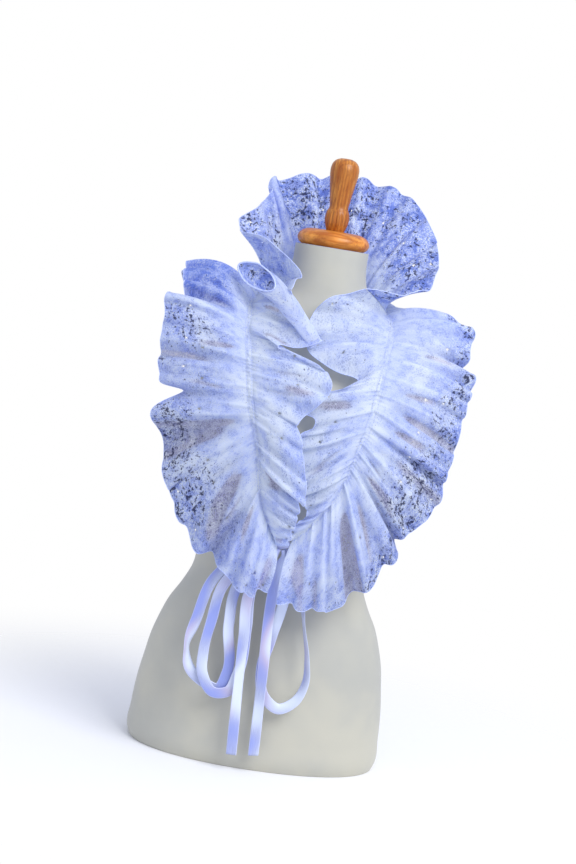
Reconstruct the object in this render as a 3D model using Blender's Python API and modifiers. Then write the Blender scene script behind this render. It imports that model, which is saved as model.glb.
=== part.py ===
"""Ruffled lace collar, drawn up on a satin ribbon and worn on a limbless dress form.

One long strip of crisp lace is gathered along its middle. The gathered line runs up one
side of the chest, round the back of the neck and down the other side. The half of the
strip outside the line fans out over the shoulders, and the half inside it fills the
chest and stands up behind the neck. Metres, +Z up, front towards -Y, +X to the right of
someone who faces the collar. The origin is the centre of the form's flat underside.
"""

import math

import bmesh
import bpy
import numpy as np
from mathutils import Vector

MM = 0.001

# Faces that meet at more than these degrees keep a sharp edge between them
EDGE_ANGLE = 50
LACE_EDGE_ANGLE = 60

# Cloth and ribbon
LACE_WALL = 1.2 * MM
SEAM_ALLOWANCE = 1.05 * MM
CLEAR_OF_FORM = 2.6 * MM
RIBBON_WIDTH = 15.0 * MM
RIBBON_WALL = 1.0 * MM

# How the lace is divided, in rows from the gathered line to each edge
COLUMNS_A_FOLD = 4
OUTER_ROWS = (0.2, 0.42, 0.64, 0.83, 1.0)
INNER_ROWS = (0.26, 0.52, 0.78, 1.0)

# How the lace falls from the gathered line: it arches up, then its valleys deepen
ARCH_AT = 0.45
OUTER_ARCH = 22.0 * MM
INNER_ARCH = 16.0 * MM
FOLD_GROWTH = 1.15
VALLEY_SHARPNESS = 1.5
LEAN = 7.0 * MM
LEAN_TURN = 1.7
DIRECTION_STEP = 0.02

# Which way each half faces, and the arch that two lengths share where they are sewn
FACE_FRONT = (0, -1, 0)
FACE_UP = (0, 0.5, 1)
FACE_NECK = (0, -1, 0.6)
STRAIGHT_BACK = 2.0
LEFT_SEAM_OUTER_BOW = (5, -11, 44)
RIGHT_SEAM_OUTER_BOW = (-5, -11, 18)
SEAM_INNER_BOW = (0, -4, 6)
KNOT_INNER_BOW = (0, -5, 2)
SEAM_BLEND = 0.18

# Dress form, one row for each level: height, half width, depth to the front and back
FORM_ROUNDNESS = 2.15
FORM_SIDES = 36
FORM_LEVELS = (
    (0, 181, 112, 124),
    (7, 184, 115, 126),
    (45, 184, 117, 126),
    (87, 181, 116, 123),
    (120, 176, 114, 119),
    (150, 171, 112, 116),
    (178, 163, 108, 111),
    (205, 153, 103, 104),
    (232, 138, 97, 96),
    (261, 126, 92, 88),
    (285, 124, 92, 86),
    (320, 128, 100, 88),
    (360, 137, 116, 93),
    (400, 147, 130, 100),
    (430, 152, 135, 105),
    (465, 156, 133, 108),
    (500, 160, 126, 109),
    (540, 166, 112, 107),
    (575, 170, 98, 101),
    (600, 172, 86, 94),
    (620, 168, 74, 86),
    (640, 144, 64, 76),
    (657, 105, 58, 68),
    (672, 76, 55, 62),
    (690, 61, 54, 57),
    (715, 54, 53, 54),
    (744, 53, 52, 53),
)

# Turned wood on the neck, one row for each turn of the profile: radius, height
CAP_BOTTOM = 744.3
CAP_PROFILE = (
    (0, 24), (30, 24), (40, 22.5), (47, 19), (51, 14), (52, 9), (50, 4), (45, 0), (0, 0),
)
FINIAL_BOTTOM = CAP_BOTTOM + 24.3
FINIAL_PROFILE = (
    (0, 104), (8, 103.5), (14, 101), (18.5, 96), (20.5, 89), (20.6, 83), (18.6, 68),
    (16.4, 54), (14.6, 42), (13.6, 34), (14.2, 31), (16.2, 27), (17.4, 20), (17, 12),
    (14.8, 5), (13, 0), (0, 0),
)
TURNED_SIDES = 32
MERGE = 0.00005

# The gathered line, one row for each station: right, back, up
LEFT_LINE = (
    (-19.2, -140.8, 335.4),
    (-36, -144, 362),
    (-49, -146, 391),
    (-64, -148, 457),
    (-84, -140, 522),
    (-97, -112, 585),
    (-104, -62, 632),
    (-98, -22, 660),
)
NECK_LINE = (
    (-98, -22, 660),
    (-88, 12, 674),
    (-66, 44, 690),
    (-36, 62, 702),
    (0, 68, 707),
    (34, 62, 702),
    (60, 44, 692),
    (80, 14, 678),
    (91, -22, 664),
)
RIGHT_LINE = (
    (2, -141, 338),
    (21, -144, 360),
    (41, -146, 390),
    (57, -148, 423),
    (67, -149, 459),
    (77, -147, 496),
    (83, -141, 532),
    (88, -128, 570),
    (92, -103, 603),
    (99, -60, 636),
    (91, -22, 664),
)

# Edges of the strip, one row for each fold, from the ribbon's end upwards on the fronts
# and from left to right round the neck. A row has the place along the gathered line in
# percent, where the crest's edge lies (right, back, up), and of the valley that follows it
# how deep it is, how far in its edge lies and how wide it opens.
FOLD_COLUMNS = ("along", "x", "y", "z", "dip", "pinch", "open")
LEFT_OUTER = (
    (0, -20, -160, 266, 4, 3, 1.2),
    (6, -41, -160, 256, 3, 2, 1),
    (12, -61, -158, 262, 12, 4, 1),
    (18, -91, -150, 287, 34, 10, 1.6),
    (24, -126, -122, 299, 10, 3, 1),
    (30, -159, -112, 342, 5, 2, 1),
    (36, -174, -106, 374, 3, 1, 1),
    (42, -189, -104, 401, 46, 4, 1.8),
    (47, -217, -97, 475, 18, 42, 1.2),
    (54, -213, -88, 527, 4, 0, 1),
    (60, -219, -84, 551, 22, 0, 1.3),
    (67, -220, -79, 583, 5, 0, 1),
    (74, -220, -72, 615, 7, 0, 1),
    (81, -222, -64, 645, 28, 18, 1.2),
    (87, -201, -46, 664, 8, 2, 1),
    (93, -205, -32, 677, 6, 3, 1),
    (100, -203, -18, 693, 6, 3, 1),
)
LEFT_INNER = (
    (0, -3, -160, 333, 3, 3, 1),
    (6, -1, -166, 346, 3, 3, 1),
    (12, 1, -172, 360, 4, 4, 1),
    (18, 2, -176, 373, 5, 4, 1),
    (24, 4, -178, 385, 18, 14, 1.4),
    (30, 8, -187, 396, 4, 2, 1),
    (36, 7, -187, 420, 8, 2, 1),
    (42, -1, -186, 451, 6, 3, 1),
    (47, -8, -180, 479, 8, 5, 1),
    (54, -16, -166, 505, 10, 4, 1),
    (60, 10, -168, 537, 8, 3, 1),
    (67, 20, -161, 562, 9, 3, 1),
    (74, -1, -150, 584, 10, 8, 1),
    (81, -59, -132, 601, 8, 4, 1),
    (87, -4, -128, 615, 10, 4, 1),
    (93, -38, -112, 648, 8, 4, 1),
    (100, -53, -96, 678, 8, 4, 1),
)
RIGHT_OUTER = (
    (0, -7, -162, 252, 5, 3, 1),
    (8, 28, -161, 246, 6, 3, 1),
    (15, 55, -160, 251, 4, 2, 1),
    (22, 83, -156, 261, 38, 6, 1.6),
    (27, 119, -134, 284, 14, 8, 1),
    (32, 153, -112, 328, 32, 8, 1.2),
    (37, 160, -109, 363, 5, 1, 1),
    (42, 188, -103, 394, 6, 1, 1),
    (46, 203, -99, 420, 26, -3, 1.4),
    (50, 205, -100, 451, 5, 1, 1),
    (55, 210, -94, 479, 15, -3, 1),
    (60, 214, -90, 514, 8, 1, 1),
    (66, 218, -87, 546, 6, 1, 1),
    (73, 222, -83, 570, 14, 2, 1),
    (80, 225, -78, 597, 24, 14, 1.1),
    (87, 213, -66, 624, 6, 1, 1),
    (94, 215, -48, 661, 6, 2, 1),
    (100, 178, -28, 678, 6, 3, 1),
)
RIGHT_INNER = (
    (0, -5, -150, 337, 3, 2, 1),
    (8, -2, -151, 353, 4, 3, 1),
    (15, 6, -152, 366, 5, 3, 1),
    (22, 16, -153, 379, 6, 3, 1),
    (27, 12, -154, 390, 10, 5, 1.3),
    (32, 2, -156, 403, 5, 2, 1),
    (37, -7, -157, 421, 6, 2, 1),
    (42, -17, -158, 443, 9, 3, 1.3),
    (46, -20, -158, 465, 5, 3, 1),
    (50, -11, -156, 486, 6, 3, 1),
    (55, 7, -152, 509, 8, 4, 1),
    (60, -23, -149, 529, 10, 4, 1),
    (66, 20, -142, 547, 6, 4, 1),
    (73, 59, -126, 570, 8, 4, 1),
    (80, -11, -118, 595, 10, 5, 1),
    (87, -23, -106, 630, 8, 4, 1),
    (94, -1, -97, 674, 6, 2, 1),
    (100, 50, -88, 696, 6, 3, 1),
)
NECK_OUTER = (
    (0, -203, -18, 693, 7, 4, 1),
    (5, -208, 18, 676, 14, 6, 1),
    (11, -202, 52, 660, 22, 6, 1.2),
    (17, -186, 86, 642, 12, 8, 1),
    (23, -160, 116, 624, 26, 6, 1.3),
    (29, -128, 142, 608, 12, 8, 1),
    (36, -94, 160, 596, 24, 6, 1.2),
    (43, -56, 172, 588, 10, 8, 1),
    (50, -16, 178, 584, 22, 6, 1.2),
    (57, 24, 178, 584, 28, 8, 1.3),
    (64, 62, 170, 590, 12, 6, 1),
    (71, 98, 156, 600, 26, 8, 1.2),
    (77, 130, 136, 612, 14, 6, 1),
    (83, 158, 108, 628, 22, 8, 1.1),
    (89, 180, 76, 644, 12, 6, 1),
    (94, 190, 36, 658, 6, 6, 1),
    (100, 178, -28, 678, 6, 4, 1),
)
NECK_INNER = (
    (0, -53, -96, 678, 5, 3, 1),
    (5, -42, -88, 701, 6, 2, 1),
    (11, -97, -54, 742, 8, 0, 1.2),
    (17, -137, -12, 754, 10, 0, 1),
    (23, -114, 24, 786, 14, 4, 1.2),
    (29, -97, 62, 812, 10, 4, 1),
    (36, -98, 90, 833, 18, 4, 1.2),
    (43, -50, 118, 847, 16, 2, 1),
    (50, -4, 130, 852, 16, 2, 1.2),
    (57, 38, 127, 855, 18, 2, 1.2),
    (64, 82, 112, 848, 9, 2, 1),
    (71, 114, 88, 832, 7, 2, 1),
    (77, 138, 60, 802, 9, 2, 1),
    (83, 153, 34, 770, 12, 4, 1),
    (89, 155, -2, 734, 12, 4, 1),
    (94, 124, -52, 702, 6, 4, 1),
    (100, 50, -88, 696, 6, 4, 1),
)

# The three lengths of the strip, with the table of each edge and how each half falls
PANELS = {
    "lace_left": {
        "line": LEFT_LINE,
        "outer": LEFT_OUTER,
        "inner": LEFT_INNER,
        "outside": {
            "outward": FACE_FRONT, "arch": OUTER_ARCH, "steer": STRAIGHT_BACK,
            "square_at_seams": True, "last_bow": LEFT_SEAM_OUTER_BOW,
        },
        "inside": {
            "outward": FACE_FRONT, "arch": INNER_ARCH, "steer": STRAIGHT_BACK,
            "square_at_seams": False, "last_bow": SEAM_INNER_BOW,
        },
    },
    "lace_neck": {
        "line": NECK_LINE,
        "outer": NECK_OUTER,
        "inner": NECK_INNER,
        "outside": {
            "outward": FACE_UP, "arch": OUTER_ARCH, "steer": 0.0,
            "square_at_seams": True,
            "first_bow": LEFT_SEAM_OUTER_BOW, "last_bow": RIGHT_SEAM_OUTER_BOW,
        },
        "inside": {
            "outward": FACE_NECK, "arch": INNER_ARCH, "steer": 0.0,
            "square_at_seams": False,
            "first_bow": SEAM_INNER_BOW, "last_bow": SEAM_INNER_BOW,
        },
    },
    "lace_right": {
        "line": RIGHT_LINE,
        "outer": RIGHT_OUTER,
        "inner": RIGHT_INNER,
        "outside": {
            "outward": FACE_FRONT, "arch": OUTER_ARCH, "steer": STRAIGHT_BACK,
            "square_at_seams": True, "last_bow": RIGHT_SEAM_OUTER_BOW,
        },
        "inside": {
            "outward": FACE_FRONT, "arch": INNER_ARCH, "steer": STRAIGHT_BACK,
            "square_at_seams": False,
            "first_bow": KNOT_INNER_BOW, "last_bow": SEAM_INNER_BOW,
        },
    },
}

# Gaps of the lace that are wider than 4 mm, near the margins of the strip
GAPS_A_FRONT = 28
GAPS_AT_NECK = 38
GAP_SIZES = (5.0, 6.5, 8.5, 5.5, 7.0)
GAP_SPACING = 0.61803
GAP_RIM = 0.5 * MM
GAP_MOST_OF_FACE = 0.8
GAP_SPREAD = 1.25

# Satin ribbon, one row for each point that it hangs through: right, back, up
KNOT_CENTRE = (-10, -138, 332)
KNOT_SIZE = (23, 15, 15)
KNOT_SIDES = 16
KNOT_RINGS = 10
RIBBON_ROUTES = {
    "ribbon_loop_left_wide": (
        (-22, -129, 317), (-40, -129, 303), (-70, -129, 296), (-94, -129, 270),
        (-111, -129, 207), (-118, -129, 166), (-110, -129, 138), (-87, -129, 120),
        (-66, -129, 114), (-57, -129, 138), (-65, -130, 207), (-62, -130, 262),
        (-44, -130, 294), (-15, -130, 313),
    ),
    "ribbon_loop_left_narrow": (
        (-22, -138, 324), (-40, -136, 306), (-64, -135, 286), (-79, -134, 266),
        (-90, -134, 207), (-94, -134, 166), (-90, -134, 132), (-71, -134, 109),
        (-52, -134, 113), (-42, -134, 139), (-40, -134, 207), (-42, -135, 262),
        (-34, -136, 294), (-15, -138, 316),
    ),
    "ribbon_loop_right": (
        (-3, -133, 320), (3, -131, 304), (6, -130, 261), (-4, -130, 193),
        (-10, -130, 152), (1, -130, 111), (22, -130, 98), (43, -130, 111),
        (54, -130, 139), (51, -130, 173), (39, -130, 220), (29, -131, 261),
        (16, -133, 296), (2, -137, 322),
    ),
    "ribbon_tail_left": (
        (-15, -144, 321), (-28, -141, 296), (-44, -139, 258), (-42, -139, 193),
        (-37, -139, 91), (-33, -139, 26),
    ),
    "ribbon_tail_right": (
        (-7, -141, 319), (-10, -139, 300), (-12, -136, 261), (-8, -135, 152),
        (-5, -135, 91), (-2, -135, 28),
    ),
}
RIBBON_FACES = (0.0, -1.0, 0.0)
RIBBON_STEP = 11.0 * MM
KNOT_GAP = 0.6 * MM
KNOT_STRAIGHT = 8.0 * MM
RIBBON_TAPER = 26.0 * MM
RIBBON_GATHERED = 0.3


def table(names, rows):
    """Columns of a table by name, as arrays."""
    return {name: np.array(column, float) for name, column in zip(names, zip(*rows))}


def through(stations, values, at):
    """A smooth curve through values at the stations, read at other places."""
    stations = np.asarray(stations, float)
    values = np.asarray(values, float)
    at = np.clip(at, stations[0], stations[-1])
    slopes = np.gradient(values, stations, axis=0)
    k = np.clip(np.searchsorted(stations, at, side="right") - 1, 0, len(stations) - 2)
    width = stations[k + 1] - stations[k]
    t = (at - stations[k]) / width
    if values.ndim > 1:
        t = t[:, None]
        width = width[:, None]
    start = (1 + 2 * t) * (1 - t) ** 2 * values[k] + t * (1 - t) ** 2 * width * slopes[k]
    end = t * t * (3 - 2 * t) * values[k + 1] - t * t * (1 - t) * width * slopes[k + 1]
    return start + end


def unit(vectors):
    return vectors / np.maximum(np.linalg.norm(vectors, axis=-1, keepdims=True), 1e-9)


def form_size(z):
    """Half width, and depth to the front and to the back, of the form at height z."""
    levels = table(("z", "wide", "front", "back"), FORM_LEVELS)
    heights = levels["z"] * MM
    return [np.interp(z, heights, levels[name] * MM) for name in ("wide", "front", "back")]


def off_form(points, clearance=CLEAR_OF_FORM):
    """Points moved straight out from the axis wherever they lie too near the form."""
    wide, front, back = form_size(points[..., 2])
    deep = np.where(points[..., 1] < 0, front, back)
    across = np.abs(points[..., 0]) / (wide + clearance)
    along = np.abs(points[..., 1]) / (deep + clearance)
    near = (across**FORM_ROUNDNESS + along**FORM_ROUNDNESS) ** (1 / FORM_ROUNDNESS)
    push = np.where(points[..., 2] < FORM_LEVELS[-1][0] * MM, np.maximum(1 / near, 1), 1)
    moved = points.copy()
    moved[..., :2] *= push[..., None]
    return moved


def gathered_line(rows, along):
    """Points of the gathered line, and its direction, at shares of its length."""
    stations = np.array(rows, float) * MM
    steps = np.linalg.norm(np.diff(stations, axis=0), axis=1)
    marks = np.concatenate([[0], np.cumsum(steps)]) / steps.sum()
    points = off_form(through(marks, stations, along))
    ahead = off_form(through(marks, stations, along + DIRECTION_STEP))
    behind = off_form(through(marks, stations, along - DIRECTION_STEP))
    return points, unit(ahead - behind)


def half_ruffle(line_rows, folds, along, shares, side):
    """Points of one half of the strip, a row for each share of the way to its edge."""
    rows = table(FOLD_COLUMNS, folds)
    marks = rows["along"] / 100
    line, direction = gathered_line(line_rows, along)
    crest = np.stack([rows["x"], rows["y"], rows["z"]], axis=1) * MM
    edge = through(marks, crest, along)
    phase = np.interp(along, marks, np.arange(len(marks)))
    fold = np.clip(np.floor(phase + 1e-6), 0, len(marks) - 2).astype(int)
    dip = rows["dip"][fold] * MM
    pinch = rows["pinch"][fold] * MM
    wave = np.clip((1 - np.cos(2 * math.pi * phase)) / 2, 0, 1)
    valley = wave ** (VALLEY_SHARPNESS / rows["open"][fold])
    lean = LEAN * np.sin(LEAN_TURN * fold + 1) * valley
    radial = unit(edge - line)
    normal = unit(np.cross(radial, direction))
    if np.dot(normal.mean(axis=0), side["outward"]) < 0:
        normal = -normal
    bow = normal * side["arch"]
    sink = unit(normal + np.array(side["outward"]) * side["steer"])
    for mark, key in ((0, "first_bow"), (1, "last_bow")):
        if key in side:
            near = np.clip(1 - np.abs(along - mark) / SEAM_BLEND, 0, 1)[:, None]
            shared = np.array(side[key], float)
            bow = bow + (shared * MM - bow) * near
            if side["square_at_seams"]:
                sink = unit(sink + (unit(shared) - sink) * near)
    middle = line + (edge - line) * ARCH_AT + bow
    surface = []
    for share in shares:
        bend = (
            (1 - share) ** 2 * line
            + 2 * share * (1 - share) * middle
            + share**2 * edge
        )
        depth = (dip * valley * share**FOLD_GROWTH)[:, None]
        inward = (pinch * valley * share**2)[:, None]
        sideways = (lean * share**2)[:, None]
        moved = bend - sink * depth - radial * inward + direction * sideways
        surface.append(off_form(moved))
    return surface


def panel_columns(folds):
    """Places along the gathered line, a few for each fold."""
    marks = np.array([row[0] for row in folds], float) / 100
    steps = np.arange(0, len(marks) - 1 + 1e-9, 1 / COLUMNS_A_FOLD)
    return np.interp(steps, np.arange(len(marks)), marks)


def panel_points(name):
    """Points of a whole panel from its inner to its outer edge, row by row."""
    panel = PANELS[name]
    along = panel_columns(panel["outer"])
    inside = half_ruffle(panel["line"], panel["inner"], along, INNER_ROWS, panel["inside"])
    outside = half_ruffle(
        panel["line"], panel["outer"], along, OUTER_ROWS, panel["outside"]
    )
    middle = gathered_line(panel["line"], along)[0]
    return np.array(inside[::-1] + [middle] + outside)


def collection(name):
    made = bpy.data.collections.new(name)
    bpy.context.scene.collection.children.link(made)
    return made


def finish_material(name, colour, roughness, metallic=0.0):
    material = bpy.data.materials.new(name)
    material.use_nodes = True
    shader = material.node_tree.nodes["Principled BSDF"]
    shader.inputs["Base Color"].default_value = (*colour, 1)
    shader.inputs["Roughness"].default_value = roughness
    shader.inputs["Metallic"].default_value = metallic
    return material


def add_object(name, mesh, group, material):
    made = bpy.data.objects.new(name, mesh)
    mesh.materials.append(material)
    group.objects.link(made)
    return made


def smooth(mesh, angle=EDGE_ANGLE):
    mesh.shade_smooth()
    mesh.set_sharp_from_angle(angle=math.radians(angle))


def grid_from(points):
    """A sheet of faces whose corners are rows and columns of points."""
    rows, columns = points.shape[:2]
    work = bmesh.new()
    bmesh.ops.create_grid(work, x_segments=columns - 1, y_segments=rows - 1, size=1)
    work.verts.ensure_lookup_table()
    for k, corner in enumerate(work.verts):
        corner.co = Vector(points[k // columns, k % columns])
    return work


def shrink_seams(points):
    """A panel cut back at its two ends, so that seams stay a little apart."""
    cut = points.copy()
    cut[:, 0] += unit(points[:, 1] - points[:, 0]) * SEAM_ALLOWANCE
    cut[:, -1] += unit(points[:, -2] - points[:, -1]) * SEAM_ALLOWANCE
    return cut


def open_gaps(work, rows, columns, count):
    """Cut the widest gaps of the lace in the faces near its two margins."""
    margins = (rows - 2, rows - 3, rows - 4, 0, 1)
    work.faces.ensure_lookup_table()
    chosen = {}
    for k in range(count):
        column = 1 + int((k * GAP_SPACING % 1) * (columns - 3))
        row = margins[k % len(margins)]
        chosen[row * (columns - 1) + column] = GAP_SIZES[k % len(GAP_SIZES)] * MM
    faces = [work.faces[k] for k in chosen]
    sizes = list(chosen.values())
    bmesh.ops.inset_individual(work, faces=faces, thickness=GAP_RIM)
    for face, size in zip(faces, sizes):
        centre = face.calc_center_median()
        for corner in face.verts:
            arm = corner.co - centre
            share = min(size / 2 / arm.length, GAP_MOST_OF_FACE)
            corner.co = centre + arm * share * GAP_SPREAD
    bmesh.ops.delete(work, geom=faces, context="FACES")


def lace_panel(name, group, material):
    """One length of the strip, as a thin wall with its widest gaps cut through."""
    points = shrink_seams(panel_points(name))
    work = grid_from(points)
    count = GAPS_AT_NECK if name == "lace_neck" else GAPS_A_FRONT
    open_gaps(work, *points.shape[:2], count)
    bmesh.ops.recalc_face_normals(work, faces=work.faces)
    mesh = bpy.data.meshes.new(name)
    work.to_mesh(mesh)
    work.free()
    smooth(mesh, LACE_EDGE_ANGLE)
    made = add_object(name, mesh, group, material)
    wall = made.modifiers.new("wall", "SOLIDIFY")
    wall.thickness = LACE_WALL
    wall.offset = 0
    return made


def leave_knot(point):
    """Two points straight out of the knot towards a point, the first off its skin."""
    centre = np.array(KNOT_CENTRE, float) * MM
    arm = point - centre
    reach = np.linalg.norm(arm / (np.array(KNOT_SIZE) / 2 * MM))
    start = centre + arm / reach + unit(arm) * KNOT_GAP
    return np.array([start, start + unit(arm) * KNOT_STRAIGHT])


def ribbon(name, route, group, material):
    """A flat satin ribbon that hangs along its route, its face to the front."""
    stations = np.array(route, float) * MM
    stations = np.concatenate([leave_knot(stations[0]), stations[1:]])
    if "loop" in name:
        stations = np.concatenate([stations[:-1], leave_knot(stations[-1])[::-1]])
    steps = np.linalg.norm(np.diff(stations, axis=0), axis=1)
    marks = np.concatenate([[0], np.cumsum(steps)])
    count = max(6, int(marks[-1] / RIBBON_STEP))
    at = np.linspace(0, marks[-1], count)
    middle = through(marks, stations, at)
    ahead = unit(np.gradient(middle, axis=0))
    across = unit(np.cross(ahead, np.array(RIBBON_FACES)))
    from_end = np.minimum(at, marks[-1] - at) if "loop" in name else at
    opened = np.clip(from_end / RIBBON_TAPER, RIBBON_GATHERED, 1)
    half = (RIBBON_WIDTH / 2 * opened)[:, None]
    work = grid_from(np.array([middle - across * half, middle + across * half]))
    mesh = bpy.data.meshes.new(name)
    work.to_mesh(mesh)
    work.free()
    smooth(mesh)
    made = add_object(name, mesh, group, material)
    wall = made.modifiers.new("wall", "SOLIDIFY")
    wall.thickness = RIBBON_WALL
    wall.offset = 0
    return made


def form_torso(group, material):
    """The padded body of the form: rings at each level, bridged and closed."""
    work = bmesh.new()
    power = 2 / FORM_ROUNDNESS
    turns = [2 * math.pi * k / FORM_SIDES for k in range(FORM_SIDES)]
    rings = []
    for z, wide, front, back in FORM_LEVELS:
        ring = []
        for turn in turns:
            across = math.copysign(abs(math.cos(turn)) ** power, math.cos(turn))
            along = math.copysign(abs(math.sin(turn)) ** power, math.sin(turn))
            deep = back if along > 0 else front
            ring.append(work.verts.new(Vector((wide * across, deep * along, z)) * MM))
        rings.append(ring)
    for low, high in zip(rings, rings[1:]):
        for k in range(FORM_SIDES):
            j = (k + 1) % FORM_SIDES
            work.faces.new((low[k], low[j], high[j], high[k]))
    work.faces.new(rings[0][::-1])
    work.faces.new(rings[-1])
    mesh = bpy.data.meshes.new("form_torso")
    work.to_mesh(mesh)
    work.free()
    smooth(mesh)
    return add_object("form_torso", mesh, group, material)


def turned(name, profile, bottom, group, material):
    """A piece turned on a lathe, from its profile down the outer side."""
    work = bmesh.new()
    points = [work.verts.new(Vector((r, 0, z + bottom)) * MM) for r, z in profile]
    for upper, lower in zip(points, points[1:]):
        work.edges.new((upper, lower))
    mesh = bpy.data.meshes.new(name)
    work.to_mesh(mesh)
    work.free()
    made = add_object(name, mesh, group, material)
    lathe = made.modifiers.new("lathe", "SCREW")
    lathe.steps = TURNED_SIDES
    lathe.render_steps = TURNED_SIDES
    lathe.use_merge_vertices = True
    lathe.merge_threshold = MERGE
    return made


def ribbon_knot(group, material):
    """The soft knot where the ribbon's two ends are tied."""
    work = bmesh.new()
    bmesh.ops.create_uvsphere(
        work, u_segments=KNOT_SIDES, v_segments=KNOT_RINGS, radius=0.5
    )
    bmesh.ops.scale(work, verts=work.verts, vec=Vector(KNOT_SIZE) * MM)
    bmesh.ops.translate(work, verts=work.verts, vec=Vector(KNOT_CENTRE) * MM)
    mesh = bpy.data.meshes.new("ribbon_knot")
    work.to_mesh(mesh)
    work.free()
    smooth(mesh)
    return add_object("ribbon_knot", mesh, group, material)


def main():
    for thing in list(bpy.data.objects):
        bpy.data.objects.remove(thing)
    group = collection("ruffled_collar_on_dress_form")
    lace = finish_material("white_lace", (0.72, 0.77, 0.95), 0.85)
    satin = finish_material("white_satin_ribbon", (0.66, 0.72, 0.95), 0.4)
    jersey = finish_material("cream_jersey", (0.60, 0.61, 0.58), 0.9)
    wood = finish_material("honey_wood", (0.56, 0.23, 0.06), 0.35)
    form_torso(group, jersey)
    turned("form_neck_cap", CAP_PROFILE, CAP_BOTTOM, group, wood)
    turned("form_finial", FINIAL_PROFILE, FINIAL_BOTTOM, group, wood)
    for name in PANELS:
        lace_panel(name, group, lace)
    ribbon_knot(group, satin)
    for name, route in RIBBON_ROUTES.items():
        ribbon(name, route, group, satin)


main()
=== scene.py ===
# %% [markdown]
# # A ruffled lace collar on its dress form
#
# One long strip of crisp lace is gathered along its middle on a ribbon, laid round the
# neck and down the chest, and tied below. Its two halves spring away from the gathers as
# ruffles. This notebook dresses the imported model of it: each plain solid gets a finer
# piece in the same place, or a better material, and the scene gets light and a camera.

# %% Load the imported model
import math

import bmesh
import bpy
import numpy as np
from mathutils import Matrix, Vector


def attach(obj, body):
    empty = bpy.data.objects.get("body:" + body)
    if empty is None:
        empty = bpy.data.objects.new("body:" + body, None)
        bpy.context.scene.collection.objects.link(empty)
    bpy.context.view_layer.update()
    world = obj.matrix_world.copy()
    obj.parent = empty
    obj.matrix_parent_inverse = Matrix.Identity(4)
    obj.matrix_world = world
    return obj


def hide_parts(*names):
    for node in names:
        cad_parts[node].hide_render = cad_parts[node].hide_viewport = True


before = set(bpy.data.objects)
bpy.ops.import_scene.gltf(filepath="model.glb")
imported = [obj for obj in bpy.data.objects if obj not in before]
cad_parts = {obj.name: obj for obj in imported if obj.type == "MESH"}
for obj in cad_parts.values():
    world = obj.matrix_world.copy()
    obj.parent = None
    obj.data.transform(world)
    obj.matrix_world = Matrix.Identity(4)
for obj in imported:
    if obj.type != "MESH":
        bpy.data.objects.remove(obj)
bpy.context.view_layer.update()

MM = 0.001

# %% [markdown]
# ## Camera
#
# The photograph looks a little down on the form from the front, with the camera rolled so
# that the form leans. A camera is easiest to place by what it looks at: a target, a
# direction and a distance. The roll is added last, round the camera's own axis.

# %% The photograph's viewing angle
CAMERA_AIM = Vector((-0.020, 0.0, 0.472))
CAMERA_AZIMUTH = math.radians(-3.0)
CAMERA_ELEVATION = math.radians(6.0)
CAMERA_ROLL = math.radians(9.3)
CAMERA_DISTANCE = 2.6
CAMERA_LENS = 74.7
CAMERA_SENSOR = 36.0


def direction_to(azimuth, elevation):
    """A unit vector from the object towards a viewer; azimuth 0 is the front."""
    flat = math.cos(elevation)
    return Vector((math.sin(azimuth) * flat, -math.cos(azimuth) * flat, math.sin(elevation)))


def looking_back(place, target):
    """A matrix that puts something at a place, with its -Z towards the target."""
    turn = (target - place).to_track_quat("-Z", "Y").to_matrix().to_4x4()
    return Matrix.Translation(place) @ turn


def link(thing):
    """Put an object in the scene."""
    bpy.context.scene.collection.objects.link(thing)
    return thing


camera = link(bpy.data.objects.new("camera", bpy.data.cameras.new("camera")))
bpy.context.scene.camera = camera
camera.data.lens = CAMERA_LENS
camera.data.sensor_width = CAMERA_SENSOR
camera_place = CAMERA_AIM + direction_to(CAMERA_AZIMUTH, CAMERA_ELEVATION) * CAMERA_DISTANCE
roll = Matrix.Rotation(CAMERA_ROLL, 4, "Z")
camera.matrix_world = looking_back(camera_place, CAMERA_AIM) @ roll
print("camera at", [round(x, 2) for x in camera_place])

# %% [markdown]
# ## Helpers for materials
#
# A material is a small graph of nodes. Writing each node and link in full is long, so a
# few helpers do it: `add` makes a node and fills its inputs, with either a value or another
# node's output, and the others make the nodes that come back most often: a step of
# arithmetic, a soft step, a noise, a wave, a mix of two colours and a finished surface.

# %% Node helpers
def new_tree(name):
    """A material with an empty node tree."""
    material = bpy.data.materials.new(name)
    material.use_nodes = True
    material.node_tree.nodes.clear()
    return material, material.node_tree


def add(tree, kind, inputs=None, **settings):
    """A shader node; each input is another node's output or a value, and a colour that is
    given as a value has three numbers."""
    made = tree.nodes.new("ShaderNode" + kind)
    for key, value in settings.items():
        setattr(made, key, value)
    for key, value in (inputs or {}).items():
        socket = made.inputs[key]
        if isinstance(value, bpy.types.NodeSocket):
            tree.links.new(value, socket)
        elif socket.type == "RGBA":
            socket.default_value = (*value, 1.0)
        else:
            socket.default_value = value
    return made


def calc(tree, operation, first, second=0.0, clamp=False):
    """One step of arithmetic on values."""
    inputs = {0: first, 1: second}
    return add(tree, "Math", inputs, operation=operation, use_clamp=clamp).outputs[0]


def times(tree, first, second):
    return calc(tree, "MULTIPLY", first, second)


def plus(tree, first, second, clamp=False):
    return calc(tree, "ADD", first, second, clamp)


def what_is_left(tree, share, clamp=False):
    """One less a share."""
    return calc(tree, "SUBTRACT", 1.0, share, clamp)


def on_vectors(tree, operation, inputs, output="Vector"):
    """One step of arithmetic on vectors."""
    return add(tree, "VectorMath", inputs, operation=operation).outputs[output]


def ramp(tree, value, start, end, low=0.0, high=1.0):
    """A soft step: low below start, high above end."""
    ends = {"From Min": start, "From Max": end, "To Min": low, "To Max": high}
    inputs = {"Value": value, **ends}
    return add(tree, "MapRange", inputs, interpolation_type="SMOOTHSTEP").outputs["Result"]


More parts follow.
